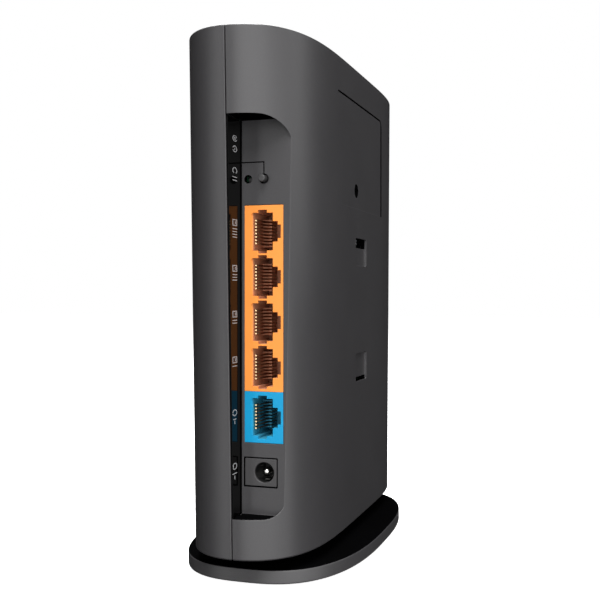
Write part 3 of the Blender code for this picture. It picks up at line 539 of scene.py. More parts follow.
def leader_groove():
    """The fine engraved line from the strip to the upper button, its walls painted black as painted shade.
    """
    button = box_centre("wps_button")
    width, depth, corner_z = 0.35 * MM, 0.9 * MM, button.z + 5.0 * MM
    line_x = button.x + 0.2 * MM
    run = ((line_x - width, PANEL_Y - depth, corner_z), (2 * MM, PANEL_Y + 1 * MM, corner_z + width))
    drop = ((line_x - width, PANEL_Y - depth, button.z + 1 * MM), (line_x, PANEL_Y + 1 * MM, corner_z))
    return [paint_shade_black(box_body("cutter", run)), paint_shade_black(box_body("cutter", drop))]


def label_groove():
    """The deep line along the top and the front side of the label recess, wider at the front, its walls
    painted black as painted shade.
    """
    turn = (LABEL_LOW[0] + LABEL_CORNER, LABEL_HIGH[1] - LABEL_CORNER)
    near_y = LABEL_HIGH[0] - LABEL_CORNER
    inner_radius = LABEL_CORNER - LABEL_GROOVE_FRONT
    inner_top = LABEL_HIGH[1] - LABEL_GROOVE_WIDTH
    outline = [(near_y, LABEL_HIGH[1]), *arc(turn, LABEL_CORNER, 90, 180, 10), LABEL_LOW]
    outline += [(LABEL_LOW[0] + LABEL_GROOVE_FRONT, LABEL_LOW[1])]
    outline += arc((turn[0], inner_top - inner_radius), inner_radius, 180, 90, 10)
    outline += [(near_y, inner_top)]
    deep = -CASE_HALF_WIDTH + LABEL_GROOVE_DEPTH
    return paint_shade_black(prism(outline, "X", deep, -CASE_HALF_WIDTH - 4 * MM))


def side_wall_holes():
    outside = -CASE_HALF_WIDTH - 5 * MM
    label = rounded_rectangle(LABEL_LOW, LABEL_HIGH, LABEL_CORNER, 10)
    tools = [prism(label, "X", LABEL_FLOOR_X, outside), label_groove()]
    through = -CASE_HALF_WIDTH + WALL + 1 * MM
    slots = (
        (UPPER_POCKET_Z, (UPPER_POCKET_Z[1] - UPPER_SLOT, UPPER_POCKET_Z[1])),
        (LOWER_POCKET_Z, (LOWER_POCKET_Z[0], LOWER_POCKET_Z[0] + LOWER_SLOT)),
    )
    for pocket_z, slot_z in slots:
        pocket = rounded_rectangle((POCKET_Y[0], pocket_z[0]), (POCKET_Y[1], pocket_z[1]), POCKET_CORNER)
        tools.append(flared_cutter(pocket, "X", POCKET_FLOOR_X, -CASE_HALF_WIDTH, 0.1 * MM))
        slot = rounded_rectangle((POCKET_Y[0], slot_z[0]), (POCKET_Y[1], slot_z[1]), 0.4 * MM)
        # The slots' walls are painted black: painted shade.
        tools.append(paint_shade_black(prism(slot, "X", through, POCKET_FLOOR_X - 0.1 * MM)))
    screw = box_centre("case_screw")
    seat_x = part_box("case_screw")[0].x + 2.1 * MM
    sleeve = circle((screw.y, screw.z), SLEEVE_RADIUS, 40)
    # The screw hole's walls are painted black: painted shade.
    tools.append(paint_shade_black(flared_cutter(sleeve, "X", seat_x, -CASE_HALF_WIDTH, 0.25 * MM)))
    return tools


def make_port_shell():
    shell = half_case("port_case_shell", -1)
    shell.data.materials.append(MATERIALS["charcoal_plastic"])
    cut(shell, notch_cutter())
    room = cavity(-1)
    screw = box_centre("case_screw")
    cut(
        room,
        box_body("keep", (
            (-30 * MM, PANEL_Y - PANEL_THICKNESS, RECESS_FLOOR - PANEL_THICKNESS),
            (5 * MM, 90 * MM, RECESS_CEILING + PANEL_THICKNESS),
        )),
        turned("keep", [(4.2 * MM, 0), (4.2 * MM, 30 * MM)], (-2 * MM, screw.y, screw.z), (-1, 0, 0)),
    )
    cut(shell, room)
    cut(shell, box_body("cutter", (
        (PANEL_INNER_X, PANEL_Y - PANEL_THICKNESS - 1 * MM, RECESS_FLOOR),
        (2 * MM, PANEL_Y + 1 * MM, RECESS_CEILING),
    )))
    cut(shell, *panel_holes(), *leader_groove(), *side_wall_holes())
    cut_both_halves(shell)
    return smooth(shell)


def oval_solid(inset):
    rings = []
    for z in (CASE_BOTTOM + inset, CASE_TOP - inset):
        outline = superellipse(
            CASE_HALF_WIDTH - inset, half_depth(z) - inset, WIDTH_POWER, DEPTH_POWER, steps=120
        )
        rings.append([(x, y, z) for x, y in outline])
    return stack("oval", rings)


def case_band(outer_inset, inner_inset, low_x, high_x):
    """A band that follows the inside of the wall, between two places across the seam."""
    band = oval_solid(outer_inset)
    cut(band, oval_solid(inner_inset))
    combine(band, box_body("slab", ((low_x, -90 * MM, 0), (high_x, 90 * MM, 180 * MM))), "INTERSECT")
    return band


def seam_tongue():
    """The tongue on the plain half that closes the seam from inside."""
    inner = WALL + 1.3 * MM
    tongue = case_band(WALL + 0.3 * MM, inner, -1.5 * MM, 2.0 * MM)
    combine(tongue, case_band(WALL - 0.3 * MM, inner + 0.3 * MM, 0.6 * MM, 1.7 * MM), "UNION")
    margin = PANEL_THICKNESS + 0.3 * MM
    zones = [
        ((-5 * MM, PANEL_Y - margin, RECESS_FLOOR - margin), (5 * MM, 90 * MM, RECESS_CEILING + margin)),
    ]
    for y in POST_PLACES:
        zones.append(((-POST_HOLE_X, y - POST_HOLE_Y, 0), (POST_HOLE_X, y + POST_HOLE_Y, 16.3 * MM)))
    cut(tongue, box_body("cutter", *zones))
    return tongue


def make_plain_shell():
    shell = half_case("plain_case_shell", 1)
    shell.data.materials.append(MATERIALS["charcoal_plastic"])
    strip_low, strip_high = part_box("port_label_strip")
    strip_back = strip_high.x + 0.3 * MM
    room = cavity(1)
    cut(room, box_body("keep", (
        (strip_back, 58 * MM, RECESS_FLOOR - PANEL_THICKNESS),
        (strip_back + PANEL_THICKNESS, 90 * MM, RECESS_CEILING + PANEL_THICKNESS),
    )))
    cut(shell, room)
    combine(shell, seam_tongue(), "UNION")
    rim = 0.6 * MM
    bed = [
        (strip_low.y - 1 * MM, RECESS_FLOOR), (half_depth(RECESS_FLOOR) - rim, RECESS_FLOOR),
        (half_depth(RECESS_CEILING) - rim, RECESS_CEILING), (strip_low.y - 1 * MM, RECESS_CEILING),
    ]
    # The strip's bed walls are painted black: painted shade.
    cut(shell, paint_shade_black(prism(bed, "X", -1 * MM, strip_back)))
    cut_both_halves(shell)
    return smooth(shell)


# --- sockets ---------------------------------------------------------------------


def socket_outline(centre_z):
    """(X, Z) outline of a modular socket: contacts on the +X side, ears, latch steps at -X."""
    half = SOCKET_WIDTH / 2
    ear = half + EAR_REACH
    right = SOCKET_INNER_X
    edge = right - SOCKET_HEIGHT
    upper = [
        (right, half), (right - EAR_START, half), (right - EAR_START, ear), (right - EAR_END, ear),
        (right - EAR_END, half - 0.05 * MM), (edge, half - 0.05 * MM),
    ]
    for depth, width in LATCH_STEPS:
        upper += [(edge, width / 2), (edge - depth, width / 2)]
        edge -= depth
    lower = [(x, -z) for x, z in reversed(upper)]
    return [(x, centre_z + z) for x, z in upper + lower]


def make_jack(name, node, contact_nodes, slot):
    """A socket block that fills its panel opening, with a comb behind each row of contacts."""
    low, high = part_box(node)
    side, end = 0.18 * MM, 0.12 * MM
    outline = rounded_rectangle((low.x - side, low.z - end), (high.x + side, high.z + end), 0.15 * MM, 3)
    jack = rounded_body(name, outline, "Y", low.y, high.y, end_radius=0.1 * MM)
    back_y = PANEL_Y - SOCKET_DEPTH
    for contact_node in contact_nodes:
        z = box_centre(contact_node).z
        cut(jack, flared_cutter(socket_outline(z), "Y", back_y, PANEL_Y, 0.08 * MM))
        half = SOCKET_WIDTH / 2 - 0.3 * MM
        chamfer = 0.5 * MM
        lead_in = [
            (SOCKET_INNER_X + chamfer, PANEL_Y + 0.05 * MM),
            (SOCKET_INNER_X - 0.2 * MM, PANEL_Y + 0.05 * MM),
            (SOCKET_INNER_X - 0.2 * MM, PANEL_Y - chamfer - 0.2 * MM),
            (SOCKET_INNER_X + 0.04 * MM, PANEL_Y - chamfer - 0.2 * MM),
        ]
        cut(jack, prism(lead_in, "Z", z - half, z + half))
        teeth = []
        for gap in range(CONTACTS + 1):
            tooth_z = z + (gap - CONTACTS / 2) * CONTACT_PITCH
            teeth.append((
                (SOCKET_INNER_X - 2.9 * MM, back_y - 0.5 * MM, tooth_z - 0.25 * MM),
                (SOCKET_INNER_X + 0.5 * MM, back_y + 5.5 * MM, tooth_z + 0.25 * MM),
            ))
        combine(jack, box_body("comb", *teeth), "UNION")
    return finish_piece(smooth(jack), "case", slot, node)


def ribbon(path, width):
    """The closed outline of a flat wire along a path."""
    left, right = [], []
    for index, point in enumerate(path):
        before = Vector(path[max(index - 1, 0)])
        after = Vector(path[min(index + 1, len(path) - 1)])
        along = (after - before).normalized()
        across = Vector((-along.y, along.x)) * width / 2
        left.append(tuple(Vector(point) + across))
        right.append(tuple(Vector(point) - across))
    return left + right[::-1]


def make_contacts(name, node):
    """Eight bent contact springs, from a rounded nose at the mouth back into the comb."""
    centre_z = box_centre(node).z
    wall_x = SOCKET_INNER_X - 0.2 * MM
    nose = (wall_x - 0.35 * MM, PANEL_Y - 1.6 * MM)
    path = [(wall_x, PANEL_Y - 4.5 * MM), (wall_x, nose[1])]
    path += arc(nose, 0.35 * MM, 30, 150, 6)
    path += [
        (wall_x - 1.1 * MM, PANEL_Y - 4.4 * MM), (wall_x - 1.7 * MM, PANEL_Y - 7.6 * MM),
        (wall_x - 2.1 * MM, PANEL_Y - 10.4 * MM), (wall_x - 2.3 * MM, PANEL_Y - SOCKET_DEPTH + 0.2 * MM),
    ]
    outline = ribbon(path, 0.24 * MM)
    bm = bmesh.new()
    for number in range(CONTACTS):
        z = centre_z + (number - (CONTACTS - 1) / 2) * CONTACT_PITCH
        half = 0.22 * MM
        add_stack(bm, rings_along(outline, "Z", round_levels(z - half, z + half, 0.05 * MM, 0.05 * MM, 2)))
    return finish_piece(smooth(new_object(name, bm), 40), "case", "contact_gold", node)


def make_sockets():
    lan_nodes = [f"lan_contacts_{number}" for number in range(1, 5)]
    make_jack("lan_jack_body", "lan_jack_block", lan_nodes, "jack_orange")
    make_jack("wan_jack_body", "wan_jack", ["wan_contacts"], "jack_blue")
    for node in lan_nodes + ["wan_contacts"]:
        make_contacts(node.replace("contacts", "contact_springs"), node)


def make_power_inlet():
    low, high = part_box("power_inlet")
    outline = box_outline(low, high, 0, 0.2 * MM, 3)
    inlet = rounded_body("power_inlet_body", outline, "Y", low.y, high.y, end_radius=0.12 * MM)
    pin_low, pin_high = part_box("power_inlet_pin")
    centre = box_centre("power_inlet_pin")
    bore = circle((centre.x, centre.z), 3.15 * MM, 56)
    cut(inlet, flared_cutter(bore, "Y", pin_low.y, PANEL_Y, 0.22 * MM))
    finish_piece(smooth(inlet), "case", "inlet_grey", "power_inlet")
    radius, length = (pin_high.x - pin_low.x) / 2, pin_high.y - pin_low.y
    profile = [(0.02 * MM, length)]
    for step in range(1, 7):
        angle = math.pi / 2 * step / 6
        profile.append((radius * math.sin(angle), length - 0.75 * radius * (1 - math.cos(angle))))
    profile += [(radius, 0.6 * MM), (radius * 1.5, 0.5 * MM), (radius * 1.5, 0.0)]
    pin = turned("power_inlet_post", profile, (centre.x, pin_low.y, centre.z), (0, 1, 0))
    finish_piece(smooth(pin), "case", "nickel", "power_inlet_pin")
    bar_low, bar_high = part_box("power_inlet_spring")
    bend = 0.35 * MM
    path = [
        (bar_low.y, bar_low.z + 0.17 * MM), (bar_low.y + 3 * MM, bar_low.z + 0.2 * MM),
        (bar_low.y + 5.2 * MM, bar_low.z + 0.2 * MM + bend), (bar_high.y - 0.6 * MM, bar_low.z + 0.2 * MM),
        (bar_high.y, bar_low.z + 0.12 * MM),
    ]
    outline = ribbon(path, 0.22 * MM)
    spring = rounded_body("power_inlet_leaf", outline, "X", bar_low.x, bar_high.x, 0.04 * MM, 0.04 * MM)
    finish_piece(smooth(spring), "case", "nickel", "power_inlet_spring")


# --- buttons and screw -----------------------------------------------------------


def rounded_profile(radius, top, edge, dish=0.0):
    """Profile points of a round cap: a slightly dished face and a rounded edge."""
    points = [(0.01 * MM, top - dish)]
    for step in range(5):
        angle = math.pi / 2 * step / 4
        points.append((radius - edge + edge * math.sin(angle), top - edge + edge * math.cos(angle)))
    return points


def make_buttons():
    low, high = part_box("wps_button")
    centre = box_centre("wps_button")
    cap_radius, flange_radius = 1.1 * MM, (high.x - low.x) / 2
    length = high.y - low.y
    flange = PANEL_Y - PANEL_THICKNESS - 0.6 * MM - low.y
    profile = rounded_profile(cap_radius, length, 0.28 * MM, 0.06 * MM) + [
        (cap_radius, flange), (flange_radius, flange), (flange_radius, flange - 0.8 * MM),
        (cap_radius, flange - 0.8 * MM), (cap_radius, 0.0),
    ]
    button = turned("wps_button_cap", profile, (centre.x, low.y, centre.z), (0, 1, 0))
    finish_piece(smooth(button), "wps_button", "button_grey", "wps_button")
    low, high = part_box("reset_plunger")
    centre = box_centre("reset_plunger")
    radius = (high.x - low.x) / 2
    profile = rounded_profile(radius, high.y - low.y, 0.2 * MM, 0.04 * MM) + [(radius, 0.0)]
    plunger = turned("reset_plunger_tip", profile, (centre.x, low.y, centre.z), (0, 1, 0))
    finish_piece(smooth(plunger), "reset_plunger", "button_grey", "reset_plunger")


def make_case_screw():
    low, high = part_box("case_screw")
    centre = box_centre("case_screw")
    head, shank = (high.z - low.z) / 2, 1.3 * MM
    length, head_height = high.x - low.x, 1.8 * MM
    seat = length - head_height
    profile = [(0.02 * MM, length)]
    for step in range(1, 6):
        angle = math.pi / 2 * step / 5
        profile.append((head * math.sin(angle), seat + 0.6 * MM + 1.2 * MM * math.cos(angle)))
    profile += [(head, seat), (shank, seat), (shank, 1.2 * MM), (0.1 * MM, 0.0)]
    screw = turned("case_screw_body", profile, (high.x, centre.y, centre.z), (-1, 0, 0))
    arm, thickness, depth, twist = 1.25 * MM, 0.24 * MM, 1.1 * MM, math.radians(8)
    quarter = [(thickness, thickness), (thickness, arm), (-thickness, arm)]
    cross = []
    for turn in range(4):
        cross += [rotated(point, math.pi / 2 * turn + twist, (centre.y, centre.z)) for point in quarter]
    slot_levels = [(low.x + depth, -0.06 * MM), (low.x - 1 * MM, 0.02 * MM)]
    cut(screw, stack("cutter", rings_along(cross, "X", slot_levels)))
    finish_piece(smooth(screw), "case", "steel", "case_screw")


# --- strip with its printed marks ------------------------------------------------


def make_strip():
    low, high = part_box("port_label_strip")
    rim = 0.75 * MM
    outline = [
        (low.y, low.z), (half_depth(low.z) - rim, low.z),
        (half_depth(high.z) - rim, high.z), (low.y, high.z),
    ]
    strip = rounded_body("port_strip", outline, "X", low.x, high.x, 0.15 * MM)
    finish_piece(smooth(strip), "case", "gloss_black", "port_label_strip")


def bar_outline(low, high):
    return rounded_rectangle(low, high, min(high[0] - low[0], high[1] - low[1]) * 0.45, 3)


def oval_arc(y, z, start, end, share=1.0):
    """Part of an oval line, upright on the strip."""
    outer, inner = [], []
    steps = max(6, round(abs(end - start) / 12))
    for step in range(steps + 1):
        angle = math.radians(start + (end - start) * step / steps)
        half_y, half_z = MARK_HEIGHT / 2 * share, MARK_WIDTH / 2 * share
        outer.append((y + half_y * math.cos(angle), z + half_z * math.sin(angle)))
        inner.append((
            y + (half_y - MARK_STROKE) * math.cos(angle), z + (half_z - MARK_LINE) * math.sin(angle)
        ))
    return outer + inner[::-1]


def upright_bar(y, z, share=1.0):
    """A bar that stands across the strip."""
    half = MARK_HEIGHT / 2 * share
    return bar_outline((y - half, z - MARK_LINE / 2), (y + half, z + MARK_LINE / 2))


def level_bar(y, z, length):
    """A bar that runs along the strip."""
    return bar_outline((y - MARK_STROKE / 2, z - length / 2), (y + MARK_STROKE / 2, z + length / 2))


def socket_mark(y, z):
    """A small socket sign: a frame with a latch."""
    half_y, half_z = (MARK_HEIGHT - MARK_STROKE) / 2, (MARK_WIDTH - MARK_LINE) / 2
    inner = MARK_WIDTH - 2 * MARK_LINE
    return [
        upright_bar(y, z - half_z), upright_bar(y, z + half_z), level_bar(y - half_y, z, inner),
        level_bar(y + half_y, z, inner), level_bar(y - half_y / 4, z, MARK_WIDTH / 2),
    ]


def count_mark(y, z, count):
    """One upright bar for each socket counted."""
    pitch = 0.85 * MM
    return [upright_bar(y, z - step * pitch) for step in range(count)]


def make_marks():
    """Generic signs beside the ports, printed on the strip; no words."""
    face_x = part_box("port_label_strip")[0].x
    y = PANEL_Y + 5.0 * MM
    button_z = box_centre("wps_button").z
    pair_z = button_z + 12.0 * MM
    outlines = [oval_arc(y, pair_z, 200, 520), oval_arc(y, pair_z, 10, 350, 0.45)]
    outlines += [oval_arc(y, pair_z - 3.2 * MM, 20, 340), level_bar(y, pair_z - 3.2 * MM, 0.8 * MM)]
    reset_z = button_z + 2.2 * MM
    outlines.append(oval_arc(y, reset_z, -60, 240))
    outlines += [upright_bar(y, reset_z - 2.0 * MM), upright_bar(y, reset_z - 3.0 * MM)]
    for number in range(1, 5):
        z = box_centre(f"lan_contacts_{number}").z
        outlines += socket_mark(y, z + 2.6 * MM)
        outlines += count_mark(y, z + 0.7 * MM, number)
    wan_z = box_centre("wan_contacts").z
    outlines += [oval_arc(y, wan_z + 1.8 * MM, 5, 175), oval_arc(y, wan_z + 1.8 * MM, 185, 355)]
    outlines += [upright_bar(y, wan_z - 0.2 * MM, 0.7), level_bar(y, wan_z - 1.2 * MM, 1.1 * MM)]
    power_z = box_centre("power_inlet").z + 2.4 * MM
    outlines += [oval_arc(y, power_z, 30, 330), level_bar(y + MARK_HEIGHT / 3, power_z, 0.9 * MM)]
    outlines += [upright_bar(y, power_z - 2.2 * MM), level_bar(y, power_z - 3.4 * MM, 1.2 * MM)]
    bm = bmesh.new()
    for outline in outlines:
        add_stack(bm, rings_along(outline, "X", [(face_x + 0.03 * MM, 0.0), (face_x - 0.035 * MM, 0.0)]))
    marks = new_object("port_marks", bm)
    marks.data.materials.append(MATERIALS["print_white"])
    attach(marks, "case")


# --- front lens, stand and feet --------------------------------------------------


def make_light_lens():
    """The clear bar in the front end, with a finger reaching back to each status light."""
    low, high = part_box("status_light_guide")
    outline = box_outline(low, high, 0, 0.5 * MM, 4)
    middle = (low.z + high.z) / 2
    front = -half_depth(middle) + 0.1 * MM
    lens = rounded_body("status_light_lens", outline, "Y", -70 * MM, front, end_radius=0.25 * MM)
    for vertex in lens.data.vertices:
        vertex.co.y -= half_depth(vertex.co.z) - half_depth(middle)
    inset, reach = 0.2 * MM, 0.8 * MM
    fingers = []
    for number in range(1, 6):
        led_z = box_centre(f"status_led_{number}").z
        fingers.append(((low.x + inset, -71 * MM, led_z - reach), (high.x - inset, high.y, led_z + reach)))
    combine(lens, box_body("fingers", *fingers), "UNION")
    finish_piece(smooth(lens), "case", "clear_guide", "status_light_guide")


def make_stand():
    low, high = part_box("stand_base")
    feet = [node for node in frame["nodes"] if node.startswith("rubber_foot")]
    half_x, half_y = (high.x - low.x) / 2, (high.y - low.y) / 2
    centre_y = (high.y + low.y) / 2
    outline = superellipse(half_x, half_y, 2.75, 2.75, centre_y)
    stand = rounded_body("stand_plate", outline, "Z", low.z, PLATE_TOP, 0.5 * MM, 0.45 * MM)
    stand.data.materials.append(MATERIALS["stand_plastic"])
    neck = superellipse(9 * MM, 46 * MM, 2.5, 2.5, steps=96)
    neck_top = CASE_BOTTOM - 0.3 * MM
    combine(stand, rounded_body("neck", neck, "Z", PLATE_TOP - 1 * MM, neck_top, 0, 0.4 * MM), "UNION")
    for y in POST_PLACES:
        post = rounded_rectangle(
            (-POST_HALF_X, y - POST_HALF_Y), (POST_HALF_X, y + POST_HALF_Y), 0.6 * MM
        )
        combine(stand, rounded_body("post", post, "Z", PLATE_TOP, high.z, 0, 0.5 * MM), "UNION")
    for node in feet:
        centre = box_centre(node)
        foot_low, foot_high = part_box(node)
        radius = (foot_high.x - foot_low.x) / 2
        seat = circle((centre.x, centre.y), radius + 0.3 * MM, 48)
        cut(stand, flared_cutter(seat, "Z", foot_high.z + 0.3 * MM, low.z, 0.25 * MM))
        make_foot(node, (centre.x, centre.y, foot_low.z), radius, foot_high.z - foot_low.z)
    # Faces from the plate's top upwards (top, neck, posts) are painted black: painted shade.
    paint_shade_black(stand, lambda face: face.center.z > PLATE_TOP - 0.1 * MM)
    finish_piece(smooth(stand), "stand", "stand_plastic", "stand_base")


def make_foot(node, place, radius, thickness):
    """A soft pad with a rolled edge and a shallow ring in its underside."""
    edge = 0.35 * MM
    profile = [(0.05 * MM, thickness), (radius, thickness), (radius, edge)]
    for step in range(1, 5):
        angle = math.pi / 2 * step / 4
        profile.append((radius - edge + edge * math.cos(angle), edge - edge * math.sin(angle)))
    ring, depth = radius * 0.62, 0.18 * MM
    profile += [(ring + 0.4 * MM, 0.0), (ring + 0.25 * MM, depth)]
    profile += [(ring - 0.25 * MM, depth), (ring - 0.4 * MM, 0.0), (0.05 * MM, 0.0)]
    foot = turned(node.replace("rubber_foot", "foot_pad"), profile, place, (0, 0, 1))
    finish_piece(smooth(foot), "stand", "rubber", node)


# --- materials -------------------------------------------------------------------


def feed(tree, source, target, socket):
    """Links a node's output to a socket, or sets the socket to a plain value."""
    if isinstance(source, bpy.types.NodeSocket):
        tree.links.new(source, target.inputs[socket])
    else:
        target.inputs[socket].default_value = source


def add(tree, kind, inputs=None, **settings):
    """A new node with its settings, each input fed with an output or a plain value."""
    made = tree.nodes.new(kind)
    for name, value in settings.items():
        setattr(made, name, value)
    for socket, source in (inputs or {}).items():
        feed(tree, source, made, socket)
    return made


def start_material(name, **values):
    material = bpy.data.materials.new(name)
    material.use_nodes = True
    shader = material.node_tree.nodes["Principled BSDF"]
    for socket, value in values.items():
        shader.inputs[socket.replace("_", " ")].default_value = value
    MATERIALS[name] = material
    return material.node_tree, shader


def object_place(tree):
    return add(tree, "ShaderNodeTexCoord").outputs["Object"]


def noise(tree, size, detail=2.0, stretch=(1, 1, 1)):
    """Noise with lumps about size across, drawn out by a stretch below 1."""
    mapping = add(tree, "ShaderNodeMapping", {"Vector": object_place(tree), "Scale": stretch})
    texture = add(tree, "ShaderNodeTexNoise", {
        "Vector": mapping.outputs["Vector"], "Scale": 1 / size, "Detail": detail,
    })
    return texture.outputs["Fac"]


def spread(tree, value, low, high, to_low, to_high):
    """Stretches the values from low to high over the values from to_low to to_high."""
    remap = add(tree, "ShaderNodeMapRange", {
        "Value": value, "From Min": low, "From Max": high, "To Min": to_low, "To Max": to_high,
    })
    return remap.outputs["Result"]


def calculate(tree, operation, first, second):
    return add(tree, "ShaderNodeMath", {0: first, 1: second}, operation=operation).outputs["Value"]


def blend_colours(tree, factor, first, second):
    mix = add(tree, "ShaderNodeMixRGB", {"Fac": factor, "Color1": first, "Color2": second})
    return mix.outputs["Color"]


def shade(colour, factor):
    return (*(min(1.0, part * factor) for part in colour), 1.0)


def rounded_normal(tree, radius):
    """The surface's direction with its edges rounded off."""
    return add(tree, "ShaderNodeBevel", {"Radius": radius}, samples=4).outputs["Normal"]


def edge_mask(tree, radius):
    """1 where a face turns over an edge, 0 on open faces."""
    facing = add(tree, "ShaderNodeVectorMath", {
        0: rounded_normal(tree, radius), 1: add(tree, "ShaderNodeNewGeometry").outputs["Normal"],
    }, operation="DOT_PRODUCT")
    return spread(tree, facing.outputs["Value"], 0.985, 0.88, 0.0, 1.0)


def depth_mask(tree, near, far):
    """0 down to the near depth behind the panel's face, 1 from the far depth on."""
    parts = add(tree, "ShaderNodeSeparateXYZ", {"Vector": object_place(tree)})
    return spread(tree, parts.outputs["Y"], PANEL_Y - near, PANEL_Y - far, 0.0, 1.0)


def dress(tree, shader, colour, gloss, height, depth, under=None):
    """Feeds the shader its colour, its roughness, and bumps laid over a normal if one is given."""
    feed(tree, colour, shader, "Base Color")
    feed(tree, gloss, shader, "Roughness")
    bump = add(tree, "ShaderNodeBump", {"Distance": depth, "Height": height})
    if under is not None:
        feed(tree, under, bump, "Normal")
    feed(tree, bump.outputs["Normal"], shader, "Normal")


def plastic(name, colour, roughness, grain, depth, specular=0.5, variation=0.1, edge_wear_and_highlight=0.0, coat=0.0):
    """Moulded plastic: a fine texture, slow changes of tone and gloss, and lighter edges, partly rubbing
    wear and partly a painted highlight.
    """
    tree, shader = start_material(name, Specular_IOR_Level=specular, Coat_Weight=coat, Coat_Roughness=0.12)
    fine = noise(tree, grain, 3.0)
    broad = noise(tree, 24 * MM)
    tone = calculate(tree, "MULTIPLY", fine, 0.8)
    tone = calculate(tree, "ADD", tone, calculate(tree, "MULTIPLY", broad, 0.2))
    tone = spread(tree, tone, 0.32, 0.68, 0.0, 1.0)
    surface = blend_colours(tree, tone, shade(colour, 1 - variation), shade(colour, 1 + variation))
    gloss = spread(tree, broad, 0.3, 0.7, roughness - 0.012, roughness + 0.012)
    # Lighter edges: partly rubbing wear, partly a painted highlight where rounded rims would catch light.
    if edge_wear_and_highlight:
        patchy = spread(tree, noise(tree, 1.6 * MM, 4.0), 0.42, 0.66, 0.15, 1.0)
        wear_and_highlight_mask = calculate(tree, "MULTIPLY", edge_mask(tree, 0.35 * MM), patchy)
        wear_and_highlight_mask = calculate(tree, "MULTIPLY", wear_and_highlight_mask, edge_wear_and_highlight)
        surface = blend_colours(tree, wear_and_highlight_mask, surface, shade(colour, 2.4))
        gloss = calculate(tree, "SUBTRACT", gloss, calculate(tree, "MULTIPLY", wear_and_highlight_mask, 0.12))
    dress(tree, shader, surface, gloss, fine, depth, rounded_normal(tree, 0.25 * MM))


def make_jack_material(name, colour, shaded_colour):
    """Moulded socket plastic, darker on the carrier inside each mouth: painted shade where little light
    reaches.
    """
    tree, shader = start_material(name, Specular_IOR_Level=0.3)
    broad = noise(tree, 5 * MM, 3.0)
    fine = noise(tree, 0.16 * MM, 3.0)
    face = blend_colours(tree, broad, shade(colour, 0.95), shade(colour, 1.05))
    painted_shade_inside = blend_colours(tree, broad, shade(shaded_colour, 0.85), shade(shaded_colour, 1.15))
    surface = blend_colours(tree, depth_mask(tree, 0.3 * MM, 1.2 * MM), face, painted_shade_inside)
    dress(tree, shader, surface, spread(tree, fine, 0.3, 0.7, 0.4, 0.5), fine, 0.006 * MM)


def metal(name, colour, roughness, brush, depth=0.004 * MM):
    """Metal with slow tarnish, and brush or roll marks drawn out along one direction."""
    tree, shader = start_material(name, Metallic=1.0)
    lines = noise(tree, 0.22 * MM, 4.0, brush)
    stains = noise(tree, 5 * MM, 3.0)
    tarnish = spread(tree, stains, 0.35, 0.75, 0.0, 1.0)
    surface = blend_colours(tree, tarnish, shade(colour, 1.0), shade(colour, 0.76))
    scratches = spread(tree, lines, 0.3, 0.7, 0.0, 0.35)
    surface = blend_colours(tree, scratches, surface, shade(colour, 0.88))
    dull = spread(tree, stains, 0.3, 0.7, roughness - 0.03, roughness + 0.05)
    gloss = calculate(tree, "ADD", spread(tree, lines, 0.3, 0.7, -0.06, 0.06), dull)
    dress(tree, shader, surface, gloss, lines, depth)


def make_contact_material():
    """Gold flash on the springs' noses, darker brown towards the back of the socket: painted shade with a
    painted reflection of the socket walls.
    """
    tree, shader = start_material("contact_gold", Metallic=1.0)
    stains = noise(tree, 1.5 * MM, 3.0)
    bright = blend_colours(tree, stains, (0.86, 0.66, 0.4, 1), (0.74, 0.54, 0.3, 1))
    # Darker brown deeper in: painted shade and a painted reflection of the socket walls.
    surface = blend_colours(tree, depth_mask(tree, 2 * MM, 4 * MM), bright, (0.3, 0.15, 0.08, 1))
    scratches = noise(tree, 0.2 * MM, 3.0, (1, 0.15, 1))
    dress(tree, shader, surface, spread(tree, stains, 0.3, 0.7, 0.28, 0.4), scratches, 0.004 * MM)


def make_board_material():
    """Green solder mask over copper tracks, with round plated holes."""
    tree, shader = start_material("board_green", Coat_Weight=0.25, Coat_Roughness=0.2)
    place = object_place(tree)
    tracks = add(tree, "ShaderNodeTexVoronoi", {
        "Vector": place, "Scale": 1 / (2.4 * MM), "Randomness": 0.75,
    }, feature="DISTANCE_TO_EDGE")
    holes = add(tree, "ShaderNodeTexVoronoi", {"Vector": place, "Scale": 1 / (3.1 * MM)})
    track = spread(tree, tracks.outputs["Distance"], 0.05, 0.09, 1.0, 0.0)
    ring = spread(tree, holes.outputs["Distance"], 0.09, 0.11, 1.0, 0.0)
    surface = blend_colours(tree, track, (0.008, 0.075, 0.032, 1), (0.02, 0.15, 0.06, 1))
    surface = blend_colours(tree, ring, surface, (0.55, 0.45, 0.25, 1))
    gloss = spread(tree, noise(tree, 3 * MM, 3.0), 0.3, 0.7, 0.28, 0.4)
    dress(tree, shader, surface, gloss, track, 0.03 * MM)


def make_gloss_material():
    """Polished black plastic with very fine hairlines and faint dust."""
    tree, shader = start_material("gloss_black", Specular_IOR_Level=0.05)
    dust = spread(tree, noise(tree, 0.35 * MM, 5.0), 0.62, 0.8, 0.0, 0.25)
    surface = blend_colours(tree, dust, (0.001, 0.001, 0.001, 1), (0.008, 0.008, 0.008, 1))
    hairlines = spread(tree, noise(tree, 0.3 * MM, 3.0, (1, 1, 0.08)), 0.35, 0.7, 0.06, 0.1)
    gloss = calculate(tree, "ADD", hairlines, calculate(tree, "MULTIPLY", dust, 0.4))
    dress(tree, shader, surface, gloss, noise(tree, 6 * MM), 0.006 * MM)


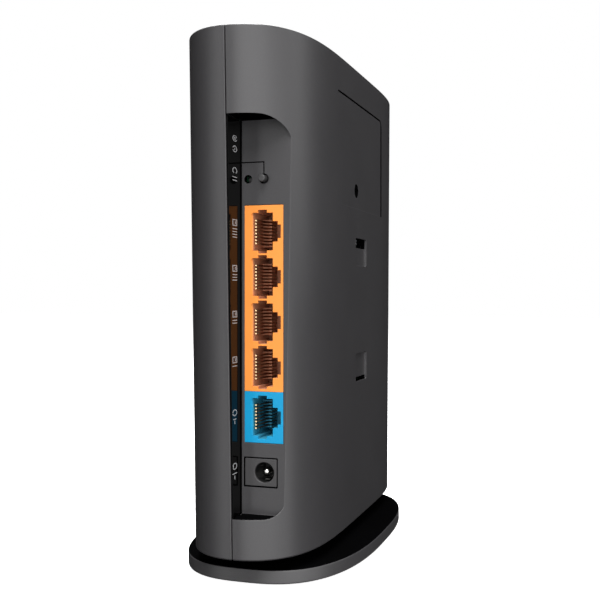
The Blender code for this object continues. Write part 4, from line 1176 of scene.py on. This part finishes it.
def make_clear_material():
    """Clear, faintly frosted light guide."""
    tree, shader = start_material("clear_guide", Transmission_Weight=0.9, IOR=1.49)
    haze = noise(tree, 1.2 * MM, 4.0)
    surface = blend_colours(tree, haze, (0.86, 0.9, 0.92, 1), (0.96, 0.98, 1.0, 1))
    gloss = spread(tree, haze, 0.3, 0.7, 0.08, 0.28)
    dress(tree, shader, surface, gloss, noise(tree, 0.5 * MM), 0.004 * MM)


def make_led_material():
    """A pale, slightly cloudy diode body."""
    tree, shader = start_material("led_white", Coat_Weight=0.4, Coat_Roughness=0.1)
    cloud = noise(tree, 0.6 * MM, 3.0)
    surface = blend_colours(tree, cloud, (0.86, 0.85, 0.7, 1), (0.95, 0.94, 0.88, 1))
    dress(tree, shader, surface, spread(tree, cloud, 0.3, 0.7, 0.25, 0.4), cloud, 0.01 * MM)


def make_print_material():
    """White ink, thinner in places."""
    tree, shader = start_material("print_white", Specular_IOR_Level=0.4)
    ink = spread(tree, noise(tree, 0.12 * MM, 3.0), 0.35, 0.6, 0.0, 1.0)
    surface = blend_colours(tree, ink, (0.16, 0.16, 0.165, 1), (0.3, 0.3, 0.305, 1))
    dress(tree, shader, surface, spread(tree, ink, 0.0, 1.0, 0.6, 0.45), ink, 0.004 * MM)


def make_rubber_material():
    """Soft black rubber with a dusty bloom."""
    tree, shader = start_material("rubber", Specular_IOR_Level=0.35)
    bloom = spread(tree, noise(tree, 2.2 * MM, 5.0), 0.4, 0.75, 0.0, 1.0)
    surface = blend_colours(tree, bloom, (0.014, 0.014, 0.015, 1), (0.04, 0.04, 0.039, 1))
    gloss = spread(tree, bloom, 0.0, 1.0, 0.7, 0.88)
    dress(tree, shader, surface, gloss, noise(tree, 0.25 * MM, 4.0), 0.02 * MM)


def make_materials():
    plastic("charcoal_plastic", (0.03, 0.029, 0.0305), 0.38, 0.34 * MM, 0.012 * MM, edge_wear_and_highlight=0.3)
    # A dull near-black without specular, put on faces as painted shade.
    plastic("painted_shade_black", (0.0012, 0.0012, 0.0013), 0.8, 0.3 * MM, 0.01 * MM, specular=0.0, variation=0.4)
    plastic("stand_plastic", (0.035, 0.034, 0.0355), 0.38, 0.32 * MM, 0.012 * MM, edge_wear_and_highlight=0.4)
    plastic("button_grey", (0.025, 0.0245, 0.025), 0.42, 0.2 * MM, 0.008 * MM, edge_wear_and_highlight=0.5)
    # The second colour of each socket material is painted shade deep in its mouth.
    make_jack_material("jack_orange", (0.62, 0.2, 0.034), (0.42, 0.18, 0.1))
    make_jack_material("jack_blue", (0.0005, 0.195, 0.37), (0.03, 0.2, 0.3))
    make_jack_material("inlet_grey", (0.034, 0.033, 0.034), (0.005, 0.005, 0.005))
    plastic("chip_black", (0.014, 0.014, 0.016), 0.55, 0.12 * MM, 0.01 * MM, variation=0.2)
    plastic("lead_black", (0.012, 0.012, 0.012), 0.5, 0.2 * MM, 0.006 * MM, variation=0.25)
    plastic("pad_grey", (0.36, 0.38, 0.46), 0.8, 0.3 * MM, 0.03 * MM, specular=0.3, variation=0.12)
    plastic("capacitor_sleeve", (0.016, 0.024, 0.075), 0.28, 0.5 * MM, 0.006 * MM, variation=0.2, coat=0.4)
    metal("nickel", (0.76, 0.75, 0.72), 0.22, (1, 1, 0.3))
    metal("heatsink_aluminium", (0.7, 0.71, 0.72), 0.36, (1, 0.05, 1), 0.01 * MM)
    metal("shield_tin", (0.7, 0.7, 0.68), 0.32, (1, 1, 0.06), 0.008 * MM)
    metal("steel", (0.1, 0.1, 0.105), 0.42, (1, 0.4, 1), 0.008 * MM)
    make_contact_material()
    make_board_material()
    make_gloss_material()
    make_clear_material()
    make_led_material()
    make_print_material()
    make_rubber_material()


def finish_piece(piece, body, slot, *nodes):
    """Gives a piece its body and, if it has none, the slot's material, and hides the CAD nodes it stands
    for.
    """
    if not piece.data.materials:
        piece.data.materials.append(MATERIALS[slot])
    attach(piece, body)
    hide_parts(*nodes)
    return piece


def finish_cad_nodes():
    for part in frame["record"]["subparts"]:
        node = frame["nodes"][part["node"]]
        node.data.materials.clear()
        node.data.materials.append(MATERIALS[part["material_slot"]])


# --- room ------------------------------------------------------------------------


def add_softbox(angle, watts, elevation, distance, size):
    data = bpy.data.lights.new("softbox", "AREA")
    data.shape = "RECTANGLE"
    data.size, data.size_y = size
    data.energy = watts
    lamp = bpy.data.objects.new("softbox", data)
    turn, rise = math.radians(angle), math.radians(elevation)
    away = Vector((-math.sin(turn) * math.cos(rise), math.cos(turn) * math.cos(rise), math.sin(rise)))
    lamp.location = LIGHT_TARGET + distance * away
    lamp.rotation_euler = (-away).to_track_quat("-Z", "Y").to_euler()
    lamp.visible_camera = False
    bpy.context.scene.collection.objects.link(lamp)


def make_lights():
    for first, last, watts, kind in LIGHT_BANKS:
        for angle in range(first, last + 1, LIGHT_STEP):
            add_softbox(angle, watts, **kind)


def make_world():
    """Dim surroundings for the router, a white backdrop for the camera."""
    world = bpy.data.worlds.new("studio")
    world.use_nodes = True
    tree = world.node_tree
    fill = tree.nodes["Background"]
    feed(tree, (1, 1, 1, 1), fill, "Color")
    feed(tree, SURROUNDINGS, fill, "Strength")
    backdrop = add(tree, "ShaderNodeBackground", {"Color": (1, 1, 1, 1), "Strength": 1.0})
    mix = add(tree, "ShaderNodeMixShader", {
        "Fac": add(tree, "ShaderNodeLightPath").outputs["Is Camera Ray"],
        1: fill.outputs["Background"], 2: backdrop.outputs["Background"],
    })
    feed(tree, mix.outputs["Shader"], tree.nodes["World Output"], "Surface")
    bpy.context.scene.world = world


def make_floor():
    """A plain pale floor that glows evenly bright far off and dimmer near the stand as painted shade,
    under the soft shadow the lamps cast.
    """
    half = FLOOR_HALF_SIZE
    corners = ((-half, -half, 0), (half, -half, 0), (half, half, 0), (-half, half, 0))
    bm = bmesh.new()
    bm.faces.new([bm.verts.new(corner) for corner in corners])
    floor = new_object("floor", bm)
    tree, shader = start_material(
        "floor_paper", Base_Color=(0.6, 0.6, 0.6, 1), Roughness=0.9, Specular_IOR_Level=0.1
    )
    distance = add(tree, "ShaderNodeVectorMath", {0: object_place(tree)}, operation="LENGTH")
    # The glow dims near the stand: painted shade round it.
    glow = add(tree, "ShaderNodeEmission", {
        "Color": (1, 1, 1, 1), "Strength": spread(tree, distance.outputs["Value"], 0.12, 0.5, 0.9, 1.0),
    })
    both = add(tree, "ShaderNodeAddShader", {0: shader.outputs["BSDF"], 1: glow.outputs["Emission"]})
    feed(tree, both.outputs["Shader"], tree.nodes["Material Output"], "Surface")
    floor.data.materials.append(MATERIALS["floor_paper"])
    floor.visible_diffuse = False
    floor.visible_glossy = False
    floor.visible_shadow = False


def make_camera():
    data = bpy.data.cameras.new("camera")
    data.sensor_width = 36.0
    data.lens = CAMERA_LENS
    data.shift_y = CAMERA_SHIFT
    data.clip_start = 0.01
    camera = bpy.data.objects.new("camera", data)
    camera.location = CAMERA_PLACE
    forward = Vector((math.sin(CAMERA_TURN), -math.cos(CAMERA_TURN), 0))
    camera.rotation_euler = forward.to_track_quat("-Z", "Y").to_euler()
    bpy.context.scene.collection.objects.link(camera)
    bpy.context.scene.camera = camera


make_materials()
finish_cad_nodes()
finish_piece(make_port_shell(), "case", "charcoal_plastic", "port_case_half")
finish_piece(make_plain_shell(), "case", "charcoal_plastic", "plain_case_half")
make_sockets()
make_power_inlet()
make_buttons()
make_case_screw()
make_strip()
make_marks()
make_light_lens()
make_stand()
make_floor()
make_world()
make_lights()
make_camera()
bpy.context.scene.view_settings.view_transform = "Standard"
